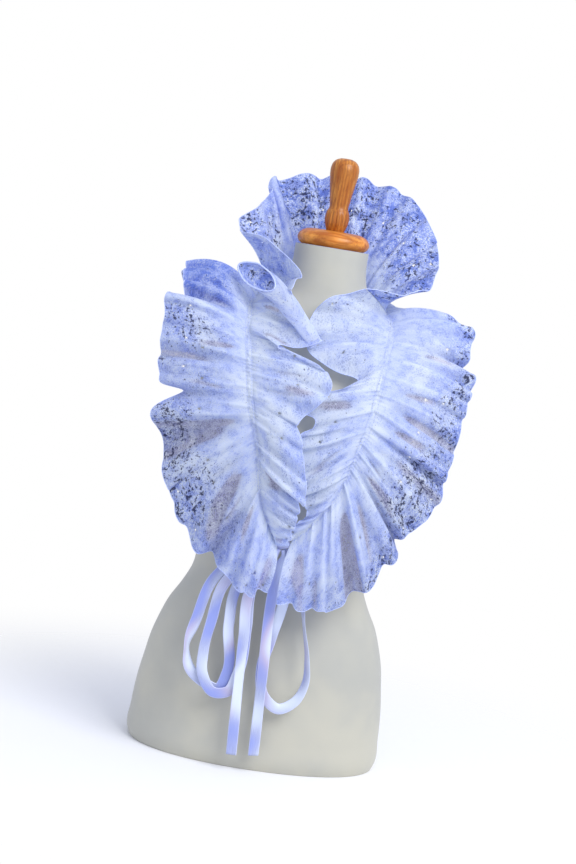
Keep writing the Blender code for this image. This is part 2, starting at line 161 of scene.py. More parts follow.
# %% Patterns
def stretched(tree, vector, scale):
    """Coordinates stretched by a scale for each direction."""
    return add(tree, "Mapping", {"Vector": vector, "Scale": scale}).outputs[0]


def noise(tree, vector, scale, detail, flat=False, roughness=0.5, output="Fac"):
    """A cloudy pattern in space, or on a flat map."""
    inputs = {"Vector": vector, "Scale": scale, "Detail": detail, "Roughness": roughness}
    return add(
        tree, "TexNoise", inputs, noise_dimensions="2D" if flat else "3D"
    ).outputs[output]


def cells(tree, vector, pitch, randomness, **settings):
    """Irregular cells on a flat map."""
    inputs = {"Vector": vector, "Scale": 1 / pitch, "Randomness": randomness}
    return add(tree, "TexVoronoi", inputs, voronoi_dimensions="2D", **settings).outputs


def stripes(tree, vector, direction, scale, distortion, detail):
    """Soft bands across a direction."""
    inputs = {"Vector": vector, "Scale": scale, "Distortion": distortion, "Detail": detail}
    return add(
        tree, "TexWave", inputs, wave_type="BANDS", bands_direction=direction
    ).outputs["Fac"]


# %% Mixes and surfaces
def mix_colour(tree, share, first, second, blend="MIX"):
    """Two colours mixed by a share."""
    inputs = {0: share, 6: first, 7: second}
    return add(tree, "Mix", inputs, data_type="RGBA", blend_type=blend).outputs[2]


def mix_shader(tree, share, first, second):
    """Two surfaces mixed by a share."""
    inputs = {0: share, 1: first.outputs[0], 2: second.outputs[0]}
    return add(tree, "MixShader", inputs)


def principled(tree, colour, height, strength, depth, constants):
    """A surface of one colour graph, with relief from a height and constant inputs."""
    bump = add(tree, "Bump", {"Height": height, "Strength": strength, "Distance": depth})
    linked = {"Base Color": colour, "Normal": bump.outputs[0]}
    return add(tree, "BsdfPrincipled", {**linked, **constants})


def finish_surface(tree, shader):
    add(tree, "OutputMaterial", {"Surface": shader.outputs[0]})


# %% [markdown]
# ## Lace
#
# Real lace is a web of fine threads with denser flowers and leaves worked into it, so it
# is partly see-through. The pattern has to follow the cloth into its gathers, so it is
# drawn on a UV map measured in metres on the cloth. Where thin layers lie on each other,
# large soft stretches look white or blue. Three attributes of the mesh steer the rest:
# `cover` is high where pleats lie on each other and low where one layer is pulled open,
# `depth` marks where blue shade is painted into the colour, and `open` the patches near
# the margins where the web is wide and the dark behind it shows as flecks. Cover and
# openness also paint tone: thin lace gets the painted shade of the form behind, dense lace
# a painted highlight, and the open patches and the holes of the web more painted shade.

# %% Sizes and colours of the lace
WEB_PITCH = 4.3 * MM
SPECK_SIZE = 2.0 * MM
PATCH_SIZE = 15.0 * MM
CLUSTER_SIZE = 16.0 * MM
CLOUD_SIZE = 26.0 * MM
LAYER_SIZE = 62.0 * MM
FLECK_SIZE = 5.2 * MM
FLECK_FROM = 0.705
FLECK_FULL = 0.74
WOBBLE_SIZE = 6.0 * MM
WOBBLE_REACH = 7.0 * MM
FLOWERS = {"pitch": 24.0 * MM, "petals": 5.0, "size": 7.5 * MM, "round_share": 0.7}
LEAVES = {"pitch": 13.0 * MM, "petals": 2.0, "size": 5.0 * MM, "round_share": 0.5}
MOTIF_RIM = 0.9 * MM
MOTIF_DENSITY = 0.8
CROWD_ANYWHERE = 0.055
CROWD_IN_CLUSTERS = 0.19
CONTRAST_PLAIN = 0.55
CONTRAST_WHEN_OPEN = 0.4
CLEAR_PLAIN = 0.38
CLEAR_IN_GAPS = 0.45
LACE_BLUE = (0.50, 0.605, 1.0)
LACE_LIGHT = (0.76, 0.825, 1.0)
# Painted shade: the deep blue of the valleys, the rims, the back of the neck and the shoulder.
LACE_PAINTED_SHADE = (0.24, 0.35, 0.80)
# Painted shade: the tone of the shaded form seen through thin lace, darker in the open patches.
LACE_THIN_SHADE = (0.58, 0.53, 0.68)
LACE_THIN_SHADE_OPEN = (0.36, 0.365, 0.56)
# Painted shade in the holes of the web, darker where the web is open.
LACE_HOLE_SHADE = (0.50, 0.57, 0.86)
LACE_HOLE_SHADE_OPEN = (0.24, 0.29, 0.56)
LACE_WORKED = (0.93, 0.97, 1.0)
FLECK_COLOUR = (0.030, 0.036, 0.125)
NOISE_MIDDLE = (0.5, 0.5, 0.5)


# %% The web and what is worked into it
def motif_mask(tree, vector, pitch, petals, size, round_share):
    """Flowers or leaves with a number of petals, one in each irregular cell of the cloth."""
    cell = cells(tree, vector, pitch, 0.9)
    arm = on_vectors(tree, "SUBTRACT", {0: vector, 1: cell["Position"]})
    reach = on_vectors(tree, "LENGTH", {0: arm}, "Value")
    parts = add(tree, "SeparateXYZ", {0: arm}).outputs
    turn = calc(tree, "ARCTAN2", parts["Y"], parts["X"])
    chance = add(tree, "SeparateColor", {0: cell["Color"]}).outputs["Red"]
    start = times(tree, chance, 2 * math.pi)
    wave = calc(tree, "COSINE", plus(tree, times(tree, turn, petals), start))
    edge = times(tree, plus(tree, times(tree, wave, 1 - round_share), round_share), size)
    return ramp(tree, calc(tree, "SUBTRACT", edge, reach), -MOTIF_RIM, MOTIF_RIM)


def lace_web(tree, cut):
    """Holes of the web, and where the lace is worked dense. Both are drawn unevenly."""
    wobble = noise(tree, cut, 1 / WOBBLE_SIZE, 2.0, flat=True, output="Color")
    centred = on_vectors(tree, "SUBTRACT", {0: wobble, 1: NOISE_MIDDLE})
    shift = on_vectors(tree, "SCALE", {0: centred, 3: WOBBLE_REACH})
    drawn = on_vectors(tree, "ADD", {0: cut, 1: shift})
    edge = cells(tree, drawn, WEB_PITCH, 1.0, feature="DISTANCE_TO_EDGE")["Distance"]
    hole = ramp(tree, edge, 0.05, 0.20)
    patch = ramp(tree, noise(tree, cut, 1 / PATCH_SIZE, 3.0, flat=True), 0.42, 0.60)
    flowers = motif_mask(tree, drawn, **FLOWERS)
    motif = calc(tree, "MAXIMUM", flowers, motif_mask(tree, drawn, **LEAVES))
    worked = calc(tree, "MAXIMUM", times(tree, motif, MOTIF_DENSITY), patch)
    return hole, worked


def lace_flecks(tree, cut, openness):
    """Dark flecks, in clusters, where the web is wide open."""
    clouds = noise(tree, cut, 1 / CLUSTER_SIZE, 2.0, flat=True, roughness=0.6)
    clusters = times(tree, ramp(tree, clouds, 0.3, 0.7), CROWD_IN_CLUSTERS)
    crowd = plus(tree, clusters, CROWD_ANYWHERE)
    spots = noise(tree, cut, 1 / FLECK_SIZE, 4.0, flat=True, roughness=0.7)
    spots = plus(tree, spots, times(tree, openness, crowd))
    return ramp(tree, spots, FLECK_FROM, FLECK_FULL)


# %% The lace's tones
def lace_shade(tree, cut, cover, depth, openness):
    """Large soft stretches of blue and white, with painted blue shade where depth asks and in
    the open patches, the painted shade of the form behind where thin, and a painted highlight
    where dense.
    """
    cloud = noise(tree, cut, 1 / CLOUD_SIZE, 3.0, flat=True)
    layers = noise(tree, cut, 1 / LAYER_SIZE, 2.0, flat=True)
    clouded = ramp(tree, cloud, 0.25, 0.75, 0.7, 1.1)
    painted_shade = calc(tree, "MULTIPLY", depth, clouded, clamp=True)
    in_light = what_is_left(tree, times(tree, painted_shade, 0.85))
    whitened = times(tree, ramp(tree, layers, 0.48, 0.64, 0.0, 0.6), in_light)
    thin = times(tree, ramp(tree, cover, 0.05, 0.55, 1.0, 0.0), 0.75)
    thin_shade_tone = mix_colour(tree, openness, LACE_THIN_SHADE, LACE_THIN_SHADE_OPEN)
    shade = mix_colour(tree, painted_shade, LACE_LIGHT, LACE_PAINTED_SHADE)
    # In turn: blue and white stretches, painted shade in the open patches, white where dense
    # (its thicker weave and a painted highlight), and the painted shade of the form behind
    # where thin.
    for share, tone in (
        (ramp(tree, layers, 0.50, 0.34, 0.0, 0.36), LACE_BLUE),
        (whitened, LACE_WORKED),
        (times(tree, openness, 0.2), LACE_PAINTED_SHADE),
        (ramp(tree, cover, 0.75, 1.0, 0.0, 0.3), LACE_WORKED),
        (thin, thin_shade_tone),
    ):
        shade = mix_colour(tree, share, shade, tone)
    return shade


def lace_colour(tree, shade, openness, net_gap, worked, specks, fleck):
    """The shade with its fine net: painted shade in the gaps of the web, deepest where the web
    is open, and bright on the worked threads.
    """
    widened = times(tree, openness, CONTRAST_WHEN_OPEN)
    contrast = plus(tree, widened, CONTRAST_PLAIN, clamp=True)
    # The gaps of the web get painted shade, deeper in the open patches.
    hole_shade_tone = mix_colour(tree, openness, LACE_HOLE_SHADE, LACE_HOLE_SHADE_OPEN)
    hole_shaded = mix_colour(tree, 1.0, shade, hole_shade_tone, "MULTIPLY")
    dark_net = times(tree, times(tree, net_gap, specks), contrast)
    lit = times(tree, times(tree, worked, specks), contrast)
    netted = mix_colour(tree, dark_net, shade, hole_shaded)
    bright = mix_colour(tree, lit, netted, LACE_WORKED)
    return mix_colour(tree, times(tree, fleck, 0.9), bright, FLECK_COLOUR)


# %% Lace material
def lace_material():
    material, tree = new_tree("white_lace")
    cut = add(tree, "UVMap", uv_map="cut").outputs["UV"]
    cover, depth, openness = (
        add(tree, "Attribute", attribute_name=name).outputs["Fac"]
        for name in ("cover", "depth", "open")
    )
    hole, worked = lace_web(tree, cut)
    specks = ramp(tree, noise(tree, cut, 1 / SPECK_SIZE, 2.0, flat=True), 0.38, 0.62)
    fleck = lace_flecks(tree, cut, openness)
    net_gap = times(tree, hole, what_is_left(tree, times(tree, worked, 0.75)))
    shade = lace_shade(tree, cut, cover, depth, openness)
    colour = lace_colour(tree, shade, openness, net_gap, worked, specks, fleck)

    height = plus(tree, worked, times(tree, hole, -0.6))
    finish = {"Roughness": 0.9, "Sheen Weight": 0.15, "Sheen Roughness": 0.6}
    front = principled(tree, colour, height, 0.2, 0.4 * MM, finish)
    through_light = add(tree, "BsdfTranslucent", {"Color": colour})
    cloth = mix_shader(tree, 0.5, front, through_light)

    closed = what_is_left(tree, times(tree, openness, 0.55))
    bared = times(tree, what_is_left(tree, cover, clamp=True), closed)
    clear = plus(tree, times(tree, net_gap, CLEAR_IN_GAPS), CLEAR_PLAIN)
    opaque = what_is_left(tree, times(tree, bared, clear), clamp=True)
    opaque = calc(tree, "MAXIMUM", opaque, times(tree, fleck, 0.95), clamp=True)
    finish_surface(tree, mix_shader(tree, opaque, add(tree, "BsdfTransparent"), cloth))
    return material


LACE = lace_material()
print("lace material:", len(LACE.node_tree.nodes), "nodes")

# %% [markdown]
# ## Satin, jersey and wood
#
# Satin is smooth along its threads, so its highlight is long and soft: fine warp lines
# across a narrow ribbon give that. As the ribbon turns, stretches a few centimetres long
# catch the light or fall into blue and lilac shade; these are painted into its colour, as
# bands of painted highlight and painted shade. The form's jersey is a pale knit, far finer
# than a pixel from here, and shows close up as rows of small loops. The turned wood has
# grain that runs with the piece, under a clear lacquer.

# %% Satin
# Warp tones, then painted blue shade, painted highlight and painted lilac shade, and the
# selvedge.
SATIN_DULL = (0.37, 0.41, 0.62)
SATIN_WHITE = (0.50, 0.55, 0.80)
SATIN_PAINTED_SHADE = (0.27, 0.33, 0.74)
SATIN_PAINTED_HIGHLIGHT = (0.72, 0.79, 0.95)
SATIN_PAINTED_LILAC_SHADE = (0.55, 0.47, 0.66)
SATIN_SELVEDGE = (0.72, 0.77, 1.0)
SATIN_STRETCH = 88 * MM
SATIN_DRIFT_ACROSS = 22.0
WARP_SCALE = (3200.0, 60.0, 1.0)
SELVEDGE_FROM = 6.3 * MM
SELVEDGE_TO = 6.8 * MM


def satin_material():
    material, tree = new_tree("white_satin_ribbon")
    cut = add(tree, "UVMap", uv_map="cut").outputs["UV"]
    drift = stretched(tree, cut, (SATIN_DRIFT_ACROSS, 1 / SATIN_STRETCH, 1.0))
    # Bands a few centimetres long give the painted shade and the painted highlight.
    bands = noise(tree, drift, 1.0, 0.6, flat=True)
    painted_lilac_bands = noise(tree, drift, 0.7, 0.0)
    warp = noise(tree, stretched(tree, cut, WARP_SCALE), 1.0, 1.0, flat=True)
    across = add(tree, "SeparateXYZ", {0: cut}).outputs["X"]
    selvedge = ramp(tree, calc(tree, "ABSOLUTE", across), SELVEDGE_FROM, SELVEDGE_TO)
    tone = mix_colour(tree, ramp(tree, warp, 0.3, 0.7), SATIN_DULL, SATIN_WHITE)
    # Painted lilac shade, painted blue shade and painted highlight along the ribbon, then the
    # paler selvedges.
    for share, colour in (
        (ramp(tree, painted_lilac_bands, 0.48, 0.66, 0, 0.8), SATIN_PAINTED_LILAC_SHADE),
        (ramp(tree, bands, 0.52, 0.34, 0, 0.9), SATIN_PAINTED_SHADE),
        (ramp(tree, bands, 0.46, 0.66, 0, 0.95), SATIN_PAINTED_HIGHLIGHT),
        (times(tree, selvedge, 0.5), SATIN_SELVEDGE),
    ):
        tone = mix_colour(tree, share, tone, colour)
    finish = {"Roughness": 0.34, "Sheen Weight": 0.3}
    height = plus(tree, warp, selvedge)
    finish_surface(tree, principled(tree, tone, height, 0.15, 0.2 * MM, finish))
    return material


# %% Jersey
JERSEY_TONES = (0.46, 0.455, 0.40), (0.545, 0.525, 0.43)
JERSEY_LOOP = (0.35, 0.36, 0.34)


def jersey_material():
    material, tree = new_tree("cream_jersey")
    place = add(tree, "TexCoord").outputs["Object"]
    loops = stripes(tree, place, "Z", 210.0, 0.6, 1.0)
    pale = mix_colour(tree, ramp(tree, noise(tree, place, 9.0, 3.0), 0.3, 0.7), *JERSEY_TONES)
    colour = mix_colour(tree, times(tree, loops, 0.08), pale, JERSEY_LOOP)
    finish = {"Roughness": 0.8, "Sheen Weight": 0.2}
    finish_surface(tree, principled(tree, colour, loops, 0.12, 0.3 * MM, finish))
    return material


# %% Wood, and all four materials
WOOD_TONES = (0.50, 0.145, 0.014), (0.86, 0.38, 0.068)
WOOD_RING = (0.27, 0.075, 0.013)
WOOD_VEIN = (0.15, 0.035, 0.008)
WOOD_FINISH = {
    "Roughness": 0.38, "Specular IOR Level": 0.3, "Coat Weight": 0.16, "Coat Roughness": 0.18,
}


def wood_material(name, stretch, darker, veins):
    """Lacquered wood; the grain is long in the direction where the stretch is small."""
    material, tree = new_tree(name)
    grain = stretched(tree, add(tree, "TexCoord").outputs["Object"], stretch)
    rings = stripes(tree, grain, "X", 0.55, 3.5, 2.0)
    fibre = noise(tree, grain, 6.0, 3.0)
    tone = mix_colour(tree, ramp(tree, noise(tree, grain, 1.0, 4.0), 0.3, 0.7), *WOOD_TONES)
    dimmed = (darker, darker * 0.9, darker * 0.8)
    tone = mix_colour(tree, 1.0, tone, dimmed, "MULTIPLY")
    tone = mix_colour(tree, times(tree, rings, veins), tone, WOOD_RING)
    tone = mix_colour(tree, ramp(tree, fibre, 0.50, 0.68, 0.0, veins), tone, WOOD_VEIN)
    finish_surface(tree, principled(tree, tone, fibre, 0.10, 0.3 * MM, WOOD_FINISH))
    return material


SATIN = satin_material()
JERSEY = jersey_material()
WOOD_UPRIGHT = wood_material("honey_wood_upright", (120.0, 120.0, 11.0), 0.74, 0.5)
WOOD_ACROSS = wood_material("honey_wood_across", (14.0, 120.0, 160.0), 1.0, 0.38)
print("materials:", [m.name for m in (SATIN, JERSEY, WOOD_UPRIGHT, WOOD_ACROSS)])

# %% [markdown]
# ## Curves through hand-placed points
#
# The collar is drawn as its maker would describe it: where the gathered line runs, and
# where each fold's edge falls. Everything between is a smooth curve, so the helpers below
# turn short tables into curves.

# %% Tables, smooth curves and the form's size
CLEAR_OF_FORM = 2.6 * MM
FORM_ROUNDNESS = 2.15
FORM_COLUMNS = ("z", "wide", "front", "back")
FORM_LEVELS = (
    (0, 181, 112, 124),
    (7, 184, 115, 126),
    (45, 184, 117, 126),
    (87, 181, 116, 123),
    (120, 176, 114, 119),
    (150, 171, 112, 116),
    (178, 163, 108, 111),
    (205, 153, 103, 104),
    (232, 138, 97, 96),
    (261, 126, 92, 88),
    (285, 124, 92, 86),
    (320, 128, 100, 88),
    (360, 137, 116, 93),
    (400, 147, 130, 100),
    (430, 152, 135, 105),
    (465, 156, 133, 108),
    (500, 160, 126, 109),
    (540, 166, 112, 107),
    (575, 170, 98, 101),
    (600, 172, 86, 94),
    (620, 168, 74, 86),
    (640, 144, 64, 76),
    (657, 105, 58, 68),
    (672, 76, 55, 62),
    (690, 61, 54, 57),
    (715, 54, 53, 54),
    (744, 53, 52, 53),
)


def table(names, rows):
    """Columns of a table by name, as arrays."""
    return {name: np.array(column, float) for name, column in zip(names, zip(*rows))}


def through(stations, values, at):
    """A smooth curve through values at the stations, read at other places."""
    stations = np.asarray(stations, float)
    values = np.asarray(values, float)
    at = np.clip(at, stations[0], stations[-1])
    slopes = np.gradient(values, stations, axis=0)
    k = np.clip(np.searchsorted(stations, at, side="right") - 1, 0, len(stations) - 2)
    width = stations[k + 1] - stations[k]
    t = (at - stations[k]) / width
    if values.ndim > 1:
        t = t[:, None]
        width = width[:, None]
    start = (1 + 2 * t) * (1 - t) ** 2 * values[k] + t * (1 - t) ** 2 * width * slopes[k]
    end = t * t * (3 - 2 * t) * values[k + 1] - t * t * (1 - t) * width * slopes[k + 1]
    return start + end


def unit(vectors):
    return vectors / np.maximum(np.linalg.norm(vectors, axis=-1, keepdims=True), 1e-9)


def points_of(rows):
    """The x, y and z columns of a table, given in millimetres, as points."""
    return np.stack([rows["x"], rows["y"], rows["z"]], axis=1) * MM


def run_along(points):
    """How far along a row of points each of them lies."""
    steps = np.linalg.norm(np.diff(points, axis=0), axis=1)
    return np.concatenate([[0], np.cumsum(steps)])


# %% Keeping clear of the form
def form_size(z):
    """Half width, and depth to the front and to the back, of the form at height z."""
    levels = table(FORM_COLUMNS, FORM_LEVELS)
    return [np.interp(z, levels["z"] * MM, levels[name] * MM) for name in FORM_COLUMNS[1:]]


def off_form(points):
    """Points moved straight out from the axis wherever they lie too near the form."""
    wide, front, back = form_size(points[..., 2])
    deep = np.where(points[..., 1] < 0, front, back)
    across = np.abs(points[..., 0]) / (wide + CLEAR_OF_FORM)
    along = np.abs(points[..., 1]) / (deep + CLEAR_OF_FORM)
    near = (across**FORM_ROUNDNESS + along**FORM_ROUNDNESS) ** (1 / FORM_ROUNDNESS)
    push = np.where(points[..., 2] < FORM_LEVELS[-1][0] * MM, np.maximum(1 / near, 1), 1)
    moved = points.copy()
    moved[..., :2] *= push[..., None]
    return moved


print("form levels:", len(FORM_LEVELS))

# %% [markdown]
# ## The strip's folds
#
# These are the same tables as the solids were made from. The gathered line has a row for
# each station. Each edge has a row for each fold: its place along the line in percent,
# where the crest's edge lies, and how deep, how far in and how wide open the valley after
# it is.

# %% How the strip falls
ARCH_AT = 0.45
OUTER_ARCH = 22.0 * MM
INNER_ARCH = 16.0 * MM
FOLD_GROWTH = 1.15
VALLEY_SHARPNESS = 1.5
LEAN = 7.0 * MM
LEAN_TURN = 1.7
DIRECTION_STEP = 0.02
FACE_FRONT = (0, -1, 0)
FACE_UP = (0, 0.5, 1)
FACE_NECK = (0, -1, 0.6)
STRAIGHT_BACK = 2.0
LEFT_SEAM_OUTER_BOW = (5, -11, 44)
RIGHT_SEAM_OUTER_BOW = (-5, -11, 18)
SEAM_INNER_BOW = (0, -4, 6)
KNOT_INNER_BOW = (0, -5, 2)
SEAM_BLEND = 0.18
print("halves spring", OUTER_ARCH / MM, "and", INNER_ARCH / MM, "mm from the line")

# %% Gathered lines
LEFT_LINE = (
    (-19.2, -140.8, 335.4),
    (-36, -144, 362),
    (-49, -146, 391),
    (-64, -148, 457),
    (-84, -140, 522),
    (-97, -112, 585),
    (-104, -62, 632),
    (-98, -22, 660),
)
NECK_LINE = (
    (-98, -22, 660),
    (-88, 12, 674),
    (-66, 44, 690),
    (-36, 62, 702),
    (0, 68, 707),
    (34, 62, 702),
    (60, 44, 692),
    (80, 14, 678),
    (91, -22, 664),
)
RIGHT_LINE = (
    (2, -141, 338),
    (21, -144, 360),
    (41, -146, 390),
    (57, -148, 423),
    (67, -149, 459),
    (77, -147, 496),
    (83, -141, 532),
    (88, -128, 570),
    (92, -103, 603),
    (99, -60, 636),
    (91, -22, 664),
)
print("stations:", [len(line) for line in (LEFT_LINE, NECK_LINE, RIGHT_LINE)])

# %% Folds of each half
FOLD_COLUMNS = ("along", "x", "y", "z", "dip", "pinch", "open")
LEFT_OUTER = (
    (0, -20, -160, 266, 4, 3, 1.2),
    (6, -41, -160, 256, 3, 2, 1),
    (12, -61, -158, 262, 12, 4, 1),
    (18, -91, -150, 287, 34, 10, 1.6),
    (24, -126, -122, 299, 10, 3, 1),
    (30, -159, -112, 342, 5, 2, 1),
    (36, -174, -106, 374, 3, 1, 1),
    (42, -189, -104, 401, 46, 4, 1.8),
    (47, -217, -97, 475, 18, 42, 1.2),
    (54, -213, -88, 527, 4, 0, 1),
    (60, -219, -84, 551, 22, 0, 1.3),
    (67, -220, -79, 583, 5, 0, 1),
    (74, -220, -72, 615, 7, 0, 1),
    (81, -222, -64, 645, 28, 18, 1.2),
    (87, -201, -46, 664, 8, 2, 1),
    (93, -205, -32, 677, 6, 3, 1),
    (100, -203, -18, 693, 6, 3, 1),
)
LEFT_INNER = (
    (0, -3, -160, 333, 3, 3, 1),
    (6, -1, -166, 346, 3, 3, 1),
    (12, 1, -172, 360, 4, 4, 1),
    (18, 2, -176, 373, 5, 4, 1),
    (24, 4, -178, 385, 18, 14, 1.4),
    (30, 8, -187, 396, 4, 2, 1),
    (36, 7, -187, 420, 8, 2, 1),
    (42, -1, -186, 451, 6, 3, 1),
    (47, -8, -180, 479, 8, 5, 1),
    (54, -16, -166, 505, 10, 4, 1),
    (60, 10, -168, 537, 8, 3, 1),
    (67, 20, -161, 562, 9, 3, 1),
    (74, -1, -150, 584, 10, 8, 1),
    (81, -59, -132, 601, 8, 4, 1),
    (87, -4, -128, 615, 10, 4, 1),
    (93, -38, -112, 648, 8, 4, 1),
    (100, -53, -96, 678, 8, 4, 1),
)
RIGHT_OUTER = (
    (0, -7, -162, 252, 5, 3, 1),
    (8, 28, -161, 246, 6, 3, 1),
    (15, 55, -160, 251, 4, 2, 1),
    (22, 83, -156, 261, 38, 6, 1.6),
    (27, 119, -134, 284, 14, 8, 1),
    (32, 153, -112, 328, 32, 8, 1.2),
    (37, 160, -109, 363, 5, 1, 1),
    (42, 188, -103, 394, 6, 1, 1),
    (46, 203, -99, 420, 26, -3, 1.4),
    (50, 205, -100, 451, 5, 1, 1),
    (55, 210, -94, 479, 15, -3, 1),
    (60, 214, -90, 514, 8, 1, 1),
    (66, 218, -87, 546, 6, 1, 1),
    (73, 222, -83, 570, 14, 2, 1),
    (80, 225, -78, 597, 24, 14, 1.1),
    (87, 213, -66, 624, 6, 1, 1),
    (94, 215, -48, 661, 6, 2, 1),
    (100, 178, -28, 678, 6, 3, 1),
)
RIGHT_INNER = (
    (0, -5, -150, 337, 3, 2, 1),
    (8, -2, -151, 353, 4, 3, 1),
    (15, 6, -152, 366, 5, 3, 1),
    (22, 16, -153, 379, 6, 3, 1),
    (27, 12, -154, 390, 10, 5, 1.3),
    (32, 2, -156, 403, 5, 2, 1),
    (37, -7, -157, 421, 6, 2, 1),
    (42, -17, -158, 443, 9, 3, 1.3),
    (46, -20, -158, 465, 5, 3, 1),
    (50, -11, -156, 486, 6, 3, 1),
    (55, 7, -152, 509, 8, 4, 1),
    (60, -23, -149, 529, 10, 4, 1),
    (66, 20, -142, 547, 6, 4, 1),
    (73, 59, -126, 570, 8, 4, 1),
    (80, -11, -118, 595, 10, 5, 1),
    (87, -23, -106, 630, 8, 4, 1),
    (94, -1, -97, 674, 6, 2, 1),
    (100, 50, -88, 696, 6, 3, 1),
)
NECK_OUTER = (
    (0, -203, -18, 693, 7, 4, 1),
    (5, -208, 18, 676, 14, 6, 1),
    (11, -202, 52, 660, 22, 6, 1.2),
    (17, -186, 86, 642, 12, 8, 1),
    (23, -160, 116, 624, 26, 6, 1.3),
    (29, -128, 142, 608, 12, 8, 1),
    (36, -94, 160, 596, 24, 6, 1.2),
    (43, -56, 172, 588, 10, 8, 1),
    (50, -16, 178, 584, 22, 6, 1.2),
    (57, 24, 178, 584, 28, 8, 1.3),
    (64, 62, 170, 590, 12, 6, 1),
    (71, 98, 156, 600, 26, 8, 1.2),
    (77, 130, 136, 612, 14, 6, 1),
    (83, 158, 108, 628, 22, 8, 1.1),
    (89, 180, 76, 644, 12, 6, 1),
    (94, 190, 36, 658, 6, 6, 1),
    (100, 178, -28, 678, 6, 4, 1),
)
NECK_INNER = (
    (0, -53, -96, 678, 5, 3, 1),
    (5, -42, -88, 701, 6, 2, 1),
    (11, -97, -54, 742, 8, 0, 1.2),
    (17, -137, -12, 754, 10, 0, 1),
    (23, -114, 24, 786, 14, 4, 1.2),
    (29, -97, 62, 812, 10, 4, 1),
    (36, -98, 90, 833, 18, 4, 1.2),
    (43, -50, 118, 847, 16, 2, 1),
    (50, -4, 130, 852, 16, 2, 1.2),
    (57, 38, 127, 855, 18, 2, 1.2),
    (64, 82, 112, 848, 9, 2, 1),
    (71, 114, 88, 832, 7, 2, 1),
    (77, 138, 60, 802, 9, 2, 1),
    (83, 153, 34, 770, 12, 4, 1),
    (89, 155, -2, 734, 12, 4, 1),
    (94, 124, -52, 702, 6, 4, 1),
    (100, 50, -88, 696, 6, 4, 1),
)
print("folds:", [len(t) for t in (LEFT_OUTER, NECK_OUTER, RIGHT_OUTER)])

# %% [markdown]
# ## Creases
#
# Between the large folds the cloth carries creases: sharp ridges that leave the gathers,
# and soft troughs that fade before they reach the hem. They are listed, a row for each.
# A row has where the crease meets the line and how far it drifts along it, where it
# starts and ends on the way to the edge, all in percent, then its width and its height in
# millimetres (a trough is below zero), and how much denser or thinner the lace looks there.
# A second kind of table says where the web is wide open: the patch's middle and its reach
# along the line and outwards, in percent, and how open it is.

# %% Tables of creases
# The cover column also sets painted tone: thinned troughs get the painted shade of the form
# behind, thickened ridges a painted highlight.
CREASE_COLUMNS = ("at", "drift", "start", "end", "width", "height", "cover")
LEFT_OUTER_CREASES = (
    (3, 1, 30, 110, 9, -3, -0.5),
    (9, -2, 0, 90, 6, 3, 0.3),
    (14, -3, 10, 110, 9, 3.5, 0.35),
    (17, 0, 40, 85, 8, -3, -0.15),
    (20, -4, 0, 110, 5, 4, 0.4),
    (25, -3, 20, 70, 7, -4, -0.45),
    (30, -8, 12, 95, 13, -6, -0.8),
    (32, -4, 0, 60, 4, 3, 0.3),
    (35, -2, 8, 70, 6, -3, -0.25),
    (38, -1, 0, 100, 6, 3, 0.35),
    (41, 0, 0, 110, 7, 3, 0.4),
    (44, -1, 25, 110, 8, -4, -0.5),
    (46.5, 1, 10, 80, 4, 2.5, 0.3),
    (49, 1, 0, 70, 5, 2.5, 0.2),
    (52, 0, 20, 80, 4, -2, -0.1),
    (56, -1, 0, 60, 5, 2, 0.2),
    (59, 0, 25, 100, 3.5, -1.5, 0),
    (62.5, 2, 35, 110, 4.5, -5, -0.3),
    (66, 1, 0, 110, 5, 3, 0.3),
    (70, -1, 15, 75, 4, -1.8, -0.1),
    (73, 0, 0, 65, 4.5, 2, 0.2),
    (77, 1, 30, 105, 3.5, -1.8, 0),
    (80, 0, 0, 110, 5, 2.5, 0.3),
    (84, 2, 15, 110, 5, -3, -0.2),
    (88, 1, 0, 70, 4, 2, 0.2),
    (91, -1, 40, 110, 5, -3, 0),
    (95, 2, 0, 90, 5, 2.5, 0.2),
    (70, -4, 4, 75, 7, -1, -0.8),
    (45, 1, 8, 104, 7, -1.5, -1.1),
    (31, -8, 14, 92, 13, -1, -1.1),
    (19, -2, 8, 70, 7, -1, -0.9),
    (54, 1, 20, 80, 5, -1, -0.5),
)
LEFT_INNER_CREASES = (
    (8, 2, 0, 90, 4, 2, 0.2),
    (14, 3, 10, 100, 3, -2, -0.2),
    (20, 1, 0, 80, 4, 2, 0.1),
    (24, 4, 10, 75, 7, -3, -0.6),
    (28, 2, 20, 105, 3, -3, -0.3),
    (31, 0, 0, 100, 5, 3, 0.4),
    (36, 1, 0, 80, 4, 2.5, 0.3),
    (40, 0, 20, 100, 3.5, -2, 0),
    (44, 1, 0, 90, 6, 3, 0.4),
    (48, 2, 10, 70, 4, -2, 0.1),
    (53, 3, 0, 60, 4, 2, 0.1),
    (57, 3, 20, 95, 5, -3, -0.25),
    (61, 2, 0, 100, 4, 2.5, 0.3),
    (64, 3, 25, 90, 4, -2.5, -0.3),
    (68, 2, 0, 105, 4, 2.5, 0.35),
    (72, 2, 15, 80, 4, -2.5, -0.2),
    (76, 1, 0, 90, 5, 2, 0.3),
    (81, 2, 20, 80, 6, -3, -0.2),
    (86, 1, 0, 100, 5, 3, 0.3),
    (90, 1, 30, 105, 4, -2, 0),
    (94, 0, 0, 100, 4, 2.5, 0.3),
    (93, -1, 24, 70, 6, -0.8, -0.8),
    (29, -2, 4, 64, 6, -1, -0.8),
    (82, 1, 50, 104, 6, -0.8, -0.5),
    (60, 2, 45, 100, 7, -0.8, -0.6),
    (3, -1, 30, 100, 5, -0.5, -0.8),
)
